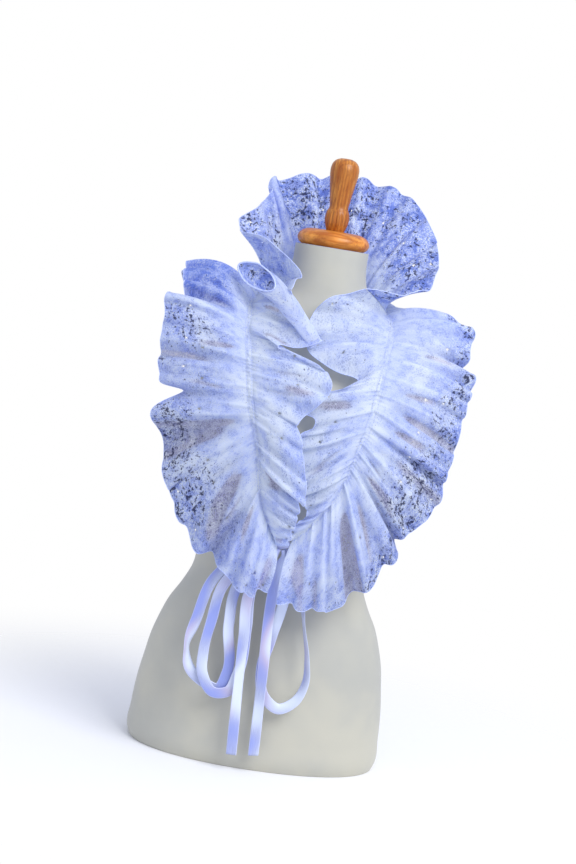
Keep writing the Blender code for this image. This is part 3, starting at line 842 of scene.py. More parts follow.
RIGHT_OUTER_CREASES = (
    (3, 0, 20, 110, 6, -2.5, -0.1),
    (7, 1, 45, 110, 6, -3, -0.35),
    (10, 0, 0, 80, 6, 2.5, 0.3),
    (13, 0, 60, 110, 5, -2.5, -0.4),
    (16, 0, 0, 110, 6, 3, 0.35),
    (20, 0, 0, 95, 6, 3, 0.4),
    (24.5, -1, 18, 110, 11, -5, -0.9),
    (27.5, -1, 0, 110, 4, 4, 0.5),
    (30, -2, 15, 100, 5, -4, -0.55),
    (33, 0, 0, 110, 4, 3.5, 0.35),
    (36.5, 0, 10, 90, 5, -5, -0.75),
    (39, 0, 0, 60, 3, 3, 0.3),
    (40.5, -1, 5, 45, 3, -3, -0.5),
    (42.5, -1, 0, 110, 6, 3.5, 0.4),
    (45.5, 0, 30, 105, 8, -5, -0.7),
    (49, 1, 0, 100, 7, 3, 0.15),
    (52, 0, 15, 80, 4, -2.5, -0.2),
    (54.5, -1, 0, 95, 5, 3, 0.35),
    (57.5, 0, 22, 110, 6, -4.5, -0.6),
    (60.5, 0, 0, 90, 4, 2.5, 0.3),
    (64, 1, 30, 100, 4, -2, -0.1),
    (67, 0, 0, 100, 6, 2.5, 0.3),
    (71, 1, 20, 85, 4, -2, -0.1),
    (75, 0, 0, 110, 5, 2.5, 0.3),
    (79, 1, 25, 110, 4, -2.5, -0.1),
    (83, 1, 0, 80, 4, 2.5, 0.2),
    (86, 0, 30, 100, 4, -2, 0),
    (90, 0, 0, 60, 4, 2, 0.2),
    (89.5, -1, 55, 110, 5, -3.5, -0.1),
    (94, 1, 0, 110, 5, 2.5, 0.2),
    (25, 1, 14, 104, 7, -1.5, -1.1),
    (37, 1, 20, 78, 6, -1, -0.8),
    (52, 2, 24, 80, 6, -1, -0.8),
    (63, 1, 20, 75, 5, -1, -0.5),
    (6, 0, 24, 90, 8, -1, -1),
    (80, 1, 30, 90, 6, -1, -0.4),
)
RIGHT_INNER_CREASES = (
    (20, 2, 0, 100, 3, 2, 0.1),
    (26, 3, 10, 100, 4, -2.5, -0.2),
    (31, 1, 0, 90, 4, 2.5, 0.3),
    (36, -2, 0, 100, 4, 3, 0.4),
    (40, -3, 15, 85, 4, -2.5, -0.25),
    (44, -8, 15, 100, 4.5, -3.5, -0.35),
    (47, -2, 0, 90, 4, 2.5, 0.35),
    (50, -3, 20, 100, 4, -2, -0.1),
    (54, 0, 0, 80, 4, 2.5, 0.3),
    (58, 1, 20, 95, 4, -2.5, -0.2),
    (62, -1, 0, 85, 5, 2.5, 0.3),
    (67, 0, 20, 90, 5, -3, -0.3),
    (72, 1, 0, 100, 5, 2.5, 0.3),
    (77, 3, 20, 90, 4, -3, -0.1),
    (81, 1, 0, 100, 5, 3, 0.4),
    (85, 2, 15, 100, 3.5, -2.5, -0.1),
    (89, 0, 0, 90, 5, 2.5, 0.3),
    (93, 1, 25, 100, 4, -2, -0.1),
    (57, 2, 30, 96, 9, -0.8, -0.6),
    (72, 1, 40, 90, 6, -0.8, -0.4),
)
NECK_OUTER_CREASES = (
    (4, 1, 20, 110, 6, -3, -0.1),
    (9, 0, 0, 90, 5, 3, 0.3),
    (14, 1, 20, 110, 6, -3, -0.2),
    (20, 0, 0, 100, 6, 3, 0.3),
    (25, -1, 30, 110, 5, -3, -0.2),
    (31, 1, 0, 80, 5, 3, 0.3),
    (34, 0, 20, 105, 6, -4, -0.3),
    (40, 0, 0, 110, 6, 3, 0.3),
    (46, 1, 25, 100, 5, -3, -0.1),
    (51, 0, 0, 70, 5, 3, 0.3),
    (55, -1, 20, 110, 7, -4, -0.3),
    (60, 0, 0, 100, 5, 3, 0.3),
    (66, 1, 15, 95, 5, -3, -0.2),
    (72, 0, 0, 110, 6, 3, 0.3),
    (78, 0, 30, 110, 5, -3, -0.2),
    (84, 1, 0, 85, 5, 3, 0.3),
    (91, 0, 20, 110, 6, -3, -0.1),
)
NECK_INNER_CREASES = (
    (5, 1, 0, 110, 5, 2.5, 0.3),
    (9, 2, 20, 100, 5, -3, -0.2),
    (15, 0, 0, 110, 6, 3, 0.3),
    (21, 1, 15, 110, 5, -3, -0.2),
    (26, 2, 0, 90, 5, 3, 0.4),
    (31, 2, 10, 110, 7, -3, -0.1),
    (36, 0, 0, 110, 5, 3, 0.2),
    (41, 0, 20, 110, 6, -3.5, -0.2),
    (46, -1, 0, 110, 5, 3, 0.3),
    (52, -1, 25, 110, 7, -3, -0.1),
    (58, -1, 0, 110, 4, 3, 0.3),
    (62.5, 0, 15, 110, 6, -3.5, -0.2),
    (67, 0, 0, 90, 5, 2.5, 0.2),
    (71, 1, 30, 110, 5, -2.5, 0),
    (75, 1, 0, 100, 6, 3, 0.2),
    (80, 1, 20, 110, 5, -3, -0.1),
    (85, 1, 0, 110, 5, 3, 0.3),
    (90, 2, 25, 110, 6, -3, -0.2),
    (95, 1, 0, 90, 5, 2.5, 0.3),
)

# %% Tables of open patches
PATCH_COLUMNS = ("at", "out", "length", "reach", "amount")
LEFT_OUTER_PATCHES = (
    (46, 90, 3, 30, 1.0),
    (42, 85, 3, 22, 0.9),
    (37, 82, 5, 32, 1.0),
    (31, 82, 5, 30, 1.0),
    (25, 70, 6, 30, 0.5),
    (76, 84, 3, 22, 1.0),
    (71, 68, 6, 30, 0.75),
    (61, 97, 2, 12, 1.0),
    (56, 62, 5, 25, 0.45),
    (90, 50, 5, 30, 0.3),
    (14, 80, 5, 15, 0.3),
)
RIGHT_OUTER_PATCHES = (
    (95, 96, 4, 10, 1.0),
    (87, 92, 3, 12, 0.8),
    (78, 94, 4, 12, 1.0),
    (72, 92, 4, 16, 0.9),
    (66, 84, 4, 20, 0.9),
    (59, 84, 4, 24, 0.8),
    (51, 82, 5, 24, 0.8),
    (46, 78, 5, 32, 1.0),
    (40, 80, 5, 32, 1.0),
    (34, 88, 4, 20, 0.8),
    (30, 95, 4, 10, 1.0),
    (22, 88, 5, 14, 0.4),
)
NECK_INNER_PATCHES = (
    (19, 88, 4, 22, 1.0),
    (26, 62, 4, 25, 0.8),
    (44, 72, 6, 40, 1.0),
    (49, 60, 3, 30, 0.6),
    (59, 66, 6, 40, 0.9),
    (70, 76, 8, 38, 0.7),
    (78, 58, 6, 42, 0.7),
    (10, 60, 8, 40, 0.4),
    (84, 66, 7, 42, 0.8),
    (91, 78, 6, 34, 0.8),
    (98, 80, 3, 24, 0.9),
)
NECK_OUTER_PATCHES = (
    (6, 90, 5, 20, 0.8),
    (18, 85, 6, 25, 0.9),
    (30, 90, 5, 22, 0.8),
    (41, 80, 6, 28, 0.9),
    (55, 88, 6, 24, 1.0),
    (68, 82, 6, 28, 0.8),
    (79, 90, 5, 20, 0.9),
    (91, 86, 6, 24, 0.8),
)
FRONT_INNER_PATCHES = (
    (35, 60, 12, 40, 0.25),
    (70, 55, 12, 40, 0.25),
    (96, 80, 4, 25, 0.4),
)
OUTER_PATCHES = (LEFT_OUTER_PATCHES, NECK_OUTER_PATCHES, RIGHT_OUTER_PATCHES)
print("open patches outside:", [len(rows) for rows in OUTER_PATCHES])

# %% The three lengths of the strip
FRONT_OUTSIDE = {
    "outward": FACE_FRONT, "arch": OUTER_ARCH, "steer": STRAIGHT_BACK, "square_at_seams": True,
}
FRONT_INSIDE = {
    "outward": FACE_FRONT, "arch": INNER_ARCH, "steer": STRAIGHT_BACK,
    "square_at_seams": False, "patches": FRONT_INNER_PATCHES, "last_bow": SEAM_INNER_BOW,
}
PANELS = {
    "lace_left": {
        "line": LEFT_LINE,
        "outside": {
            "folds": LEFT_OUTER, "creases": LEFT_OUTER_CREASES,
            "patches": LEFT_OUTER_PATCHES, "last_bow": LEFT_SEAM_OUTER_BOW, **FRONT_OUTSIDE,
        },
        "inside": {"folds": LEFT_INNER, "creases": LEFT_INNER_CREASES, **FRONT_INSIDE},
    },
    "lace_neck": {
        "line": NECK_LINE,
        "outside": {
            "folds": NECK_OUTER, "creases": NECK_OUTER_CREASES,
            "patches": NECK_OUTER_PATCHES,
            "outward": FACE_UP, "arch": OUTER_ARCH, "steer": 0.0, "square_at_seams": True,
            "first_bow": LEFT_SEAM_OUTER_BOW, "last_bow": RIGHT_SEAM_OUTER_BOW,
        },
        "inside": {
            "folds": NECK_INNER, "creases": NECK_INNER_CREASES,
            "patches": NECK_INNER_PATCHES,
            "outward": FACE_NECK, "arch": INNER_ARCH, "steer": 0.0, "square_at_seams": False,
            "first_bow": SEAM_INNER_BOW, "last_bow": SEAM_INNER_BOW,
        },
    },
    "lace_right": {
        "line": RIGHT_LINE,
        "outside": {
            "folds": RIGHT_OUTER, "creases": RIGHT_OUTER_CREASES,
            "patches": RIGHT_OUTER_PATCHES, "last_bow": RIGHT_SEAM_OUTER_BOW, **FRONT_OUTSIDE,
        },
        "inside": {
            "folds": RIGHT_INNER, "creases": RIGHT_INNER_CREASES,
            "first_bow": KNOT_INNER_BOW, **FRONT_INSIDE,
        },
    },
}
for name, panel in PANELS.items():
    print(name, "creases:", [len(panel[half]["creases"]) for half in ("outside", "inside")])

# %% [markdown]
# ## From tables to points
#
# A half of the strip is a sheet of points: a row for each distance from the gathered line
# and a column for each place along it. The large folds come first, exactly as in the
# solids. Then the sheet is moved along its own normals: the puckered channel that holds
# the ribbon, the small pleats that leave it, and the creases of the tables.

# %% Points of the large folds
def gathered_line(rows, along):
    """Points of the gathered line, and its direction, at shares of its length."""
    stations = np.array(rows, float) * MM
    marks = run_along(stations)
    marks = marks / marks[-1]
    points = off_form(through(marks, stations, along))
    ahead = off_form(through(marks, stations, along + DIRECTION_STEP))
    behind = off_form(through(marks, stations, along - DIRECTION_STEP))
    return points, unit(ahead - behind)


def valleys(rows, marks, along):
    """How far each column lies in a valley, from 0 to 1, and which fold it belongs to."""
    phase = np.interp(along, marks, np.arange(len(marks)))
    fold = np.clip(np.floor(phase + 1e-6), 0, len(marks) - 2).astype(int)
    wave = np.clip((1 - np.cos(2 * math.pi * phase)) / 2, 0, 1)
    return wave ** (VALLEY_SHARPNESS / rows["open"][fold]), fold


def half_ruffle(line_rows, side, along, shares):
    """Points of one half of the strip, a row for each share of the way to its edge, and
    how deep in a valley each column lies."""
    rows = table(FOLD_COLUMNS, side["folds"])
    marks = rows["along"] / 100
    line, direction = gathered_line(line_rows, along)
    edge = through(marks, points_of(rows), along)
    valley, fold = valleys(rows, marks, along)
    dip = rows["dip"][fold] * MM
    pinch = rows["pinch"][fold] * MM
    lean = LEAN * np.sin(LEAN_TURN * fold + 1) * valley
    radial = unit(edge - line)
    normal = unit(np.cross(radial, direction))
    if np.dot(normal.mean(axis=0), side["outward"]) < 0:
        normal = -normal
    bow = normal * side["arch"]
    sink = unit(normal + np.array(side["outward"]) * side["steer"])
    for mark, key in ((0, "first_bow"), (1, "last_bow")):
        if key in side:
            near = np.clip(1 - np.abs(along - mark) / SEAM_BLEND, 0, 1)[:, None]
            shared = np.array(side[key], float)
            bow = bow + (shared * MM - bow) * near
            if side["square_at_seams"]:
                sink = unit(sink + (unit(shared) - sink) * near)
    middle = line + (edge - line) * ARCH_AT + bow
    surface = []
    for share in shares:
        rest = 1 - share
        bend = rest**2 * line + 2 * share * rest * middle + share**2 * edge
        depth = (dip * valley * share**FOLD_GROWTH)[:, None]
        inward = (pinch * valley * share**2)[:, None]
        sideways = (lean * share**2)[:, None]
        moved = bend - sink * depth - radial * inward + direction * sideways
        surface.append(off_form(moved))
    return np.array(surface), valley * dip


# %% Small forms along the gathers
CHANNEL_WIDTH = 9.0 * MM
CHANNEL_RISE = 1.5 * MM
CHANNEL_HALF = 0.42 * CHANNEL_WIDTH
STITCH_GROOVE = 0.9 * MM
GROOVE_WIDTH = 1.1 * MM
PLEATS = (
    {"pitch": 5.2, "height": 0.8, "from": 0, "fades": 12, "seed": 0.3},
    {"pitch": 12.0, "height": 0.42, "from": 3, "fades": 22, "seed": 1.9},
    {"pitch": 31.0, "height": 0.75, "from": 12, "fades": 55, "seed": 4.1},
)
PLEAT_SHARPNESS = 0.8
PLEAT_WANDER = 1.4
PLEATS_A_WANDER = 4.7
PLEATS_A_SWELL = 3.1
PLEAT_BEGINS_OVER = 12
RIPPLE_HEIGHT = 0.3 * MM
RIPPLES = (
    {"length": 6.1, "slant": 9.0, "sway": 2.0, "start": 0.0, "part": 1.0},
    {"length": 3.7, "slant": -6.0, "sway": 0.0, "start": 1.3, "part": 0.7},
)
RIPPLE_SWAY_LENGTH = 29.0
RIPPLES_RISE = (0.25, 0.8)
HEM_CURL = 0.8 * MM
HEM_CURLS = (0.96, 1.0)
CREASE_SOFTNESS = 0.8
CREASE_WIDTH_AT_LINE = 0.45
CREASE_WIDENS = 0.75
CREASE_OPENS = (0.0, 0.3)
CREASE_CLOSES = (0.55, 1.0)
HEM_CALM = 0.35
HEM_CALMS = (0.7, 1.0)


# %% Pleats, channel and ripples
def uneven(x, seed):
    """A slow wave between 0 and about 1.2 that never quite repeats."""
    waves = ((0.9, 1.0), (1.7, 2.3), (2.9, 5.1))
    mixed = sum(np.sin(pace * x + start * seed) for pace, start in waves)
    return np.clip(0.6 + 0.27 * mixed, 0.0, 1.2)


def soft_step(value, start, end):
    t = np.clip((value - start) / (end - start), 0, 1)
    return t * t * (3 - 2 * t)


def bell(distance, width):
    """1 at no distance, fading out over a width."""
    return np.exp(-((distance / width) ** 2))


def pleat_relief(row, mm_along, away):
    """A row of sharp crests with round valleys between them, which fades from the line."""
    wander = np.sin(mm_along / (row["pitch"] * PLEATS_A_WANDER) + row["seed"])
    phase = math.pi * mm_along / row["pitch"] + PLEAT_WANDER * wander
    crests = 1 - 2 * np.abs(np.sin(phase)) ** PLEAT_SHARPNESS
    swell = uneven(mm_along / row["pitch"] / PLEATS_A_SWELL, row["seed"])
    size = row["height"] * MM * swell
    begins = 1.0
    if row["from"]:
        full = row["from"] + PLEAT_BEGINS_OVER
        begins = soft_step(away, (row["from"] - 1) * MM, full * MM)
    return crests * size * begins * bell(away, row["fades"] * MM)


def ripple_relief(mm_along, share):
    """Slanting waves over the open cloth, the first of which sways."""
    sway = np.sin(mm_along / RIPPLE_SWAY_LENGTH)
    waves = 0.0
    for row in RIPPLES:
        phase = mm_along / row["length"] + row["slant"] * share + row["sway"] * sway
        waves = waves + row["part"] * np.sin(phase + row["start"])
    return RIPPLE_HEIGHT * waves * soft_step(share, *RIPPLES_RISE)


def small_relief(along, line_length, away, share):
    """Height of the channel, the pleats and the ripples over the large folds."""
    mm_along = along[None, :] * line_length / MM
    height = CHANNEL_RISE * np.exp(-((away / CHANNEL_HALF) ** 4))
    height = height - STITCH_GROOVE * bell(away - CHANNEL_WIDTH / 2, GROOVE_WIDTH)
    for row in PLEATS:
        height = height + pleat_relief(row, mm_along, away)
    height = height + ripple_relief(mm_along, share)
    return height + HEM_CURL * soft_step(share, *HEM_CURLS)


# %% Creases from their tables
def crease_relief(points, along, shares, rows):
    """Height and change of cover that a table of creases gives to a sheet of points."""
    runs = [run_along(line) for line in points]
    height = np.zeros(points.shape[:2])
    cover = np.zeros(points.shape[:2])
    for row in rows:
        crease = dict(zip(CREASE_COLUMNS, row))
        for k, share in enumerate(shares):
            t = (share * 100 - crease["start"]) / (crease["end"] - crease["start"])
            if not 0 <= t <= 1:
                continue
            place = (crease["at"] + crease["drift"] * t) / 100
            centre = np.interp(place, along, runs[k])
            widened = CREASE_WIDTH_AT_LINE + CREASE_WIDENS * share
            across = bell(runs[k] - centre, crease["width"] * MM * widened)
            opens = 1.0 if crease["start"] == 0 else soft_step(t, *CREASE_OPENS)
            closes = 1.0 if crease["end"] > 100 else 1 - soft_step(t, *CREASE_CLOSES)
            calm = 1 - (1 - HEM_CALM) * soft_step(share, *HEM_CALMS)
            strength = across * opens * closes
            height[k] += crease["height"] * CREASE_SOFTNESS * MM * strength * calm
            cover[k] += crease["cover"] * strength
    return height, cover


# %% [markdown]
# ## From points to a piece
#
# The lace, the channel's end, the ribbons and the form's cover are all grids of points. One
# helper makes a grid of faces on such points, one draws its map of the flat cut, and one
# turns a mesh into a piece of the scene: smooth, with its material, riding on the packed
# model and standing for its plain solid. Cloth has a thin wall, which is left to a
# Solidify modifier.

# %% Helpers for pieces
SHARP_ANGLE = math.radians(50)
WELD = 0.02 * MM


def grid_on(points, **looks):
    """A grid of faces with its corners on a table of points, and attributes by name."""
    rows, columns = points.shape[:2]
    work = bmesh.new()
    bmesh.ops.create_grid(work, x_segments=columns - 1, y_segments=rows - 1, size=1)
    work.verts.ensure_lookup_table()
    work.faces.ensure_lookup_table()
    layers = [(work.verts.layers.float.new(key), look.ravel()) for key, look in looks.items()]
    for k, (corner, place) in enumerate(zip(work.verts, points.reshape(-1, 3))):
        corner.co = Vector(place)
        for layer, values in layers:
            corner[layer] = values[k]
    return work


def draw_cut(work, cut_place):
    """The map of the cut: where a face's corner lies on the flat cloth, in metres."""
    cut = work.loops.layers.uv.new("cut")
    for face in work.faces:
        for loop in face.loops:
            loop[cut].uv = cut_place(face, loop.vert)


def mesh_from(work, name):
    """A bmesh written to a mesh and freed."""
    mesh = bpy.data.meshes.new(name)
    work.to_mesh(mesh)
    work.free()
    return mesh


def as_piece(mesh, name, material, node=None, wall=0.0, sharp=False):
    """A mesh as a smooth piece that rides on the model; node is the solid it replaces."""
    mesh.shade_smooth()
    if sharp:
        mesh.set_sharp_from_angle(angle=SHARP_ANGLE)
    mesh.materials.clear()
    mesh.materials.append(material)
    piece = link(bpy.data.objects.new(name, mesh))
    if wall:
        solidify = piece.modifiers.new("wall", "SOLIDIFY")
        solidify.thickness = wall
        solidify.offset = 0
    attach(piece, "root")
    if node:
        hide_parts(node)
    return piece


# %% [markdown]
# ## The lace pieces
#
# Each length of the strip is one grid of faces, from its inner edge over the gathered
# line to its outer edge. The widest gaps of the lace are real holes: a few faces are
# deleted and the corners round them are drawn out to a circle, in the same places as in
# the solids.

# %% Measures of the lace
LACE_WALL = 0.5 * MM
SEAM_GAP = 0.7 * MM
SEAM_CALM = 0.03
COLUMNS_A_FOLD = 26
NEAR_ROWS = (0.012, 0.024, 0.037, 0.052, 0.07, 0.09, 0.115, 0.145, 0.18, 0.22)
FAR_ROWS = tuple(0.22 + 0.78 * k / 24 for k in range(1, 24)) + (0.985, 1.0)
SHARES = NEAR_ROWS + FAR_ROWS
LINE_ROW = len(SHARES)
GAPS_A_FRONT = 28
GAPS_AT_NECK = 38
GAP_SIZES = (4.2, 4.8, 5.6, 4.4, 5.0)
GAP_SPACING = 0.61803
GAP_WIDE_ENOUGH = 0.8
GAP_ROUND = 0.85
GAP_JAGGED = 0.45
GAP_JAGS = (3.1, 2.4)
PATCH_SHARPNESS = 1.5
COARSE_COLUMNS_A_FOLD = 4
COARSE_OUTER = (0.2, 0.42, 0.64, 0.83, 1.0)
COARSE_INNER = (0.26, 0.52, 0.78, 1.0)
# Cover sets how see-through the lace is, and also its painted tone: painted shade where thin,
# as in the valleys, and a painted highlight where dense, as near the gathers.
BASE_COVER = 0.66
NECK_COVER = 0.15
GATHERED_COVER = 0.5
VALLEY_THINNING = 0.35
GATHERS_REACH = 26 * MM
DEEP_VALLEY = 40 * MM
# Painted shade in each half: its plain amount, more in the valleys, and more towards the rim
# between two shares of the way out.
PAINTED_SHADE_COLUMNS = ("plain", "valley", "rim", "rim_from", "rim_to")
PAINTED_SHADES = {
    ("lace_left", "outside"): (0.18, 0.35, 0.35, 0.55, 1.0),
    ("lace_left", "inside"): (0.05, 0.3, 0.105, 0.7, 1.0),
    ("lace_neck", "outside"): (0.15, 0.3, 0.15, 0.1, 0.7),
    ("lace_neck", "inside"): (0.5, 0.3, 0.45, 0.1, 0.7),
    ("lace_right", "outside"): (0.18, 0.35, 0.55, 0.55, 1.0),
    ("lace_right", "inside"): (0.05, 0.3, 0.105, 0.7, 1.0),
}
OFF_THE_LINE = (0.1, 0.5)
# Painted shade behind the neck grows from the left towards the right, and more is painted where
# the left length turns over the shoulder.
NECK_PAINTED_SHADE_LEFT = 0.55
NECK_PAINTED_SHADE_GROWS = 0.6
NECK_PAINTED_SHADE_DEEPENS = (0.28, 0.48)
SHOULDER_PAINTED_SHADE = 0.75
SHOULDER_TURNS = (0.80, 0.88)
GATHER_FULLNESS = 1.65
FAN_SMOOTHING = 41
print("rows in each half:", len(SHARES))


# %% Relief of a half, and where its web is open
def relieved(points, line, along, line_length, side):
    """One half of the sheet with its small relief, the change of cover that its creases
    give, and how far out each point lies, as a share and in metres."""
    whole = np.concatenate([line[None], points])
    away = np.cumsum(np.linalg.norm(np.diff(whole, axis=0), axis=2), axis=0)
    share = np.repeat(np.array(SHARES)[:, None], len(along), axis=1)
    normal = unit(np.cross(np.gradient(whole, axis=1), np.gradient(whole, axis=0)))[1:]
    if (normal.mean(axis=(0, 1)) * np.array(side["outward"])).sum() < 0:
        normal = -normal
    off_seam = soft_step(np.minimum(along, 1 - along), 0.0, SEAM_CALM)
    crease, cover = crease_relief(points, along, SHARES, side["creases"])
    height = (small_relief(along, line_length, away, share) + crease) * off_seam
    return off_form(points + normal * height[..., None]), cover, share, away


def open_patches(along, share, rows):
    """How wide open the web is at each point, from a table of patches."""
    most = np.zeros(share.shape)
    for row in rows:
        patch = dict(zip(PATCH_COLUMNS, row))
        off = ((along[None, :] * 100 - patch["at"]) / patch["length"]) ** 2
        off = off + ((share * 100 - patch["out"]) / patch["reach"]) ** 2
        most = np.maximum(most, patch["amount"] * np.exp(-(off**PATCH_SHARPNESS) / 2))
    return most


def painted_shade_of(name, half, along, share, in_valley):
    """How much blue shade is painted into the lace: in its valleys, towards its rims, behind
    the neck on the right, and where the left length turns over the shoulder."""
    look = dict(zip(PAINTED_SHADE_COLUMNS, PAINTED_SHADES[name, half]))
    depth = look["plain"] + look["rim"] * soft_step(share, look["rim_from"], look["rim_to"])
    if (name, half) == ("lace_neck", "inside"):
        grown = NECK_PAINTED_SHADE_GROWS * soft_step(along, *NECK_PAINTED_SHADE_DEEPENS)
        depth = depth * (NECK_PAINTED_SHADE_LEFT + grown[None, :])
    if (name, half) == ("lace_left", "outside"):
        shoulder = soft_step(along, *SHOULDER_TURNS)[None, :]
        depth = depth + SHOULDER_PAINTED_SHADE * shoulder * soft_step(share, *OFF_THE_LINE)
    return depth + look["valley"] * in_valley


# %% Sheet of points, with its cover, depth and openness
def fold_marks(name):
    """Places of a length's outer folds along its line."""
    return table(FOLD_COLUMNS, PANELS[name]["outside"]["folds"])["along"] / 100


def half_sheet(name, half, line, along, line_length):
    """Points of one half of a length, with what its lace looks like at each."""
    side = PANELS[name][half]
    points, valley = half_ruffle(PANELS[name]["line"], side, along, SHARES)
    lifted, cover, share, away = relieved(points, line, along, line_length, side)
    in_valley = (valley / DEEP_VALLEY)[None, :] * soft_step(share, *OFF_THE_LINE)
    gathered = GATHERED_COVER * bell(away, GATHERS_REACH)
    cover = BASE_COVER + gathered + cover - VALLEY_THINNING * in_valley
    if name == "lace_neck":
        cover = cover + NECK_COVER
    # Depth is the painted shade of the lace.
    depth = painted_shade_of(name, half, along, share, in_valley)
    return lifted, {
        "cover": np.clip(cover, 0, 1),
        "depth": np.clip(depth, 0, 1),
        "open": open_patches(along, share, side["patches"]),
    }


def panel_sheet(name):
    """Points of a whole length of the strip, with what its lace looks like at each."""
    folds = fold_marks(name)
    steps = np.linspace(0, len(folds) - 1, (len(folds) - 1) * COLUMNS_A_FOLD + 1)
    along = np.interp(steps, np.arange(len(folds)), folds)
    line = gathered_line(PANELS[name]["line"], along)[0]
    line_length = run_along(line)[-1]
    inner, inner_looks = half_sheet(name, "inside", line, along, line_length)
    outer, outer_looks = half_sheet(name, "outside", line, along, line_length)
    middle = off_form((outer[0] + inner[0]) / 2)
    points = np.concatenate([inner[::-1], middle[None], outer])
    looks = {}
    for key, at_line in (("cover", 1.0), ("depth", 0.0), ("open", 0.0)):
        line_row = np.full((1, len(along)), at_line)
        looks[key] = np.concatenate([inner_looks[key][::-1], line_row, outer_looks[key]])
    return along, line_length, points, looks


# %% Gaps
def nearest_middle(marks, place):
    """Which stretch between two marks has its middle nearest to a place."""
    return int(np.argmin(np.abs(marks[:-1] + np.diff(marks) / 2 - place)))


def gap_places(name, along):
    """Row, column and size of each wide gap, as in the solid."""
    count = GAPS_AT_NECK if name == "lace_neck" else GAPS_A_FRONT
    folds = fold_marks(name)
    coarse = np.arange(0, len(folds) - 1 + 1e-9, 1 / COARSE_COLUMNS_A_FOLD)
    coarse_along = np.interp(coarse, np.arange(len(folds)), folds)
    levels = [-s for s in COARSE_INNER[::-1]] + [0.0] + list(COARSE_OUTER)
    signed = np.array([-s for s in SHARES[::-1]] + [0.0] + list(SHARES))
    rows, columns = len(levels), len(coarse_along)
    margins = (rows - 2, rows - 3, rows - 4, 0, 1)
    places = {}
    for k in range(count):
        column = 1 + int((k * GAP_SPACING % 1) * (columns - 3))
        row = margins[k % len(margins)]
        level = (levels[row] + levels[row + 1]) / 2
        at = (coarse_along[column] + coarse_along[column + 1]) / 2
        place = (nearest_middle(signed, level), nearest_middle(along, at))
        places[place] = GAP_SIZES[k % len(GAP_SIZES)] * MM
    return places


def cut_gap(points, row, column, size):
    """Grow a block of faces to a gap's size and draw its rim out to an uneven round."""
    centre = points[row : row + 2, column : column + 2].mean(axis=(0, 1))
    low, high = column, column + 1
    while np.linalg.norm(points[row, high] - points[row, low]) < size * GAP_WIDE_ENOUGH:
        low, high = low - 1, high + 1
    for r in (row, row + 1):
        for c in range(low, high + 1):
            jag = GAP_JAGGED * math.cos(GAP_JAGS[1] * c + GAP_JAGS[0] * r)
            reach = size / 2 * (GAP_ROUND + jag)
            points[r, c] = centre + unit(points[r, c] - centre) * reach
    return [(row, c) for c in range(low, high)]


# %% The flat cut
def cut_size(points, line_length):
    """Sizes of the flat cut. Each row is as long as the ruffle's own waves there, and near
    the gathers at least as long as the gathered line times its fullness."""
    steps = np.linalg.norm(np.diff(points, axis=1), axis=2)
    rises = np.linalg.norm(np.diff(points, axis=0), axis=2)
    lengths = np.maximum(steps.sum(axis=1), GATHER_FULLNESS * line_length)
    area = ((lengths[1:] + lengths[:-1]) / 2 * rises.mean(axis=1)).sum()
    return {
        "width": rises.sum(axis=0).max(), "outer hem": lengths[-1], "inner hem": lengths[0],
        "middle": lengths[LINE_ROW], "gathered to": line_length, "area": area,
    }


def lay_flat(half, line_steps):
    """Lay half a ruffle flat: its middle is a curve, bent so that the rows outside it are
    as long as the ruffle's waves, and each point lies straight out from the curve."""
    steps = np.linalg.norm(np.diff(half, axis=1), axis=2)
    rises = np.linalg.norm(np.diff(half, axis=0), axis=2)
    up = np.concatenate([np.zeros((1, half.shape[1])), np.cumsum(rises, axis=0)])
    reach = up.mean(axis=1)[:, None]
    growth = ((steps / line_steps - 1) * reach).sum(axis=0) / (reach**2).sum()
    soft = np.ones(FAN_SMOOTHING) / FAN_SMOOTHING
    growth = np.convolve(np.pad(growth, FAN_SMOOTHING // 2, mode="edge"), soft, mode="valid")
    turn = np.concatenate([[0.0], np.cumsum(-growth * line_steps)])
    turn = turn - turn[len(turn) // 2]
    middle = (turn[1:] + turn[:-1]) / 2
    curve = np.zeros((len(turn), 2))
    curve[1:, 0] = np.cumsum(line_steps * np.cos(middle))
    curve[1:, 1] = np.cumsum(line_steps * np.sin(middle))
    outwards = np.stack([-np.sin(turn), np.cos(turn)], axis=1)
    return curve[None] + up[:, :, None] * outwards[None]


# %% Make the lace pieces
def lace_piece(name):
    along, line_length, points, looks = panel_sheet(name)
    points[:, 0] += unit(points[:, 1] - points[:, 0]) * SEAM_GAP
    points[:, -1] += unit(points[:, -2] - points[:, -1]) * SEAM_GAP
    columns = points.shape[1]
    holes = []
    for (row, column), size in gap_places(name, along).items():
        holes += cut_gap(points, row, column, size)

    line_steps = np.diff(along) * line_length * GATHER_FULLNESS
    outer = lay_flat(points[LINE_ROW:], line_steps)
    inner = lay_flat(points[LINE_ROW::-1], line_steps) * (1.0, -1.0)

    def cut_place(face, corner):
        row, column = divmod(corner.index, columns)
        if min(other.index for other in face.verts) // columns >= LINE_ROW:
            return outer[row - LINE_ROW, column]
        return inner[LINE_ROW - row, column]

    work = grid_on(points, **looks)
    draw_cut(work, cut_place)
    doomed = [work.faces[row * (columns - 1) + column] for row, column in holes]
    bmesh.ops.delete(work, geom=doomed, context="FACES")
    bmesh.ops.recalc_face_normals(work, faces=work.faces)
    mesh = mesh_from(work, name + "_cloth")
    piece = as_piece(mesh, name + "_cloth", LACE, node=name, wall=LACE_WALL)
    return piece, cut_size(points, line_length), points


lace = {name: lace_piece(name) for name in PANELS}
for name, (piece, size, _) in lace.items():
    print(name, len(piece.data.polygons), "faces")
    print("  cut:", {key: round(value, 3) for key, value in size.items()})

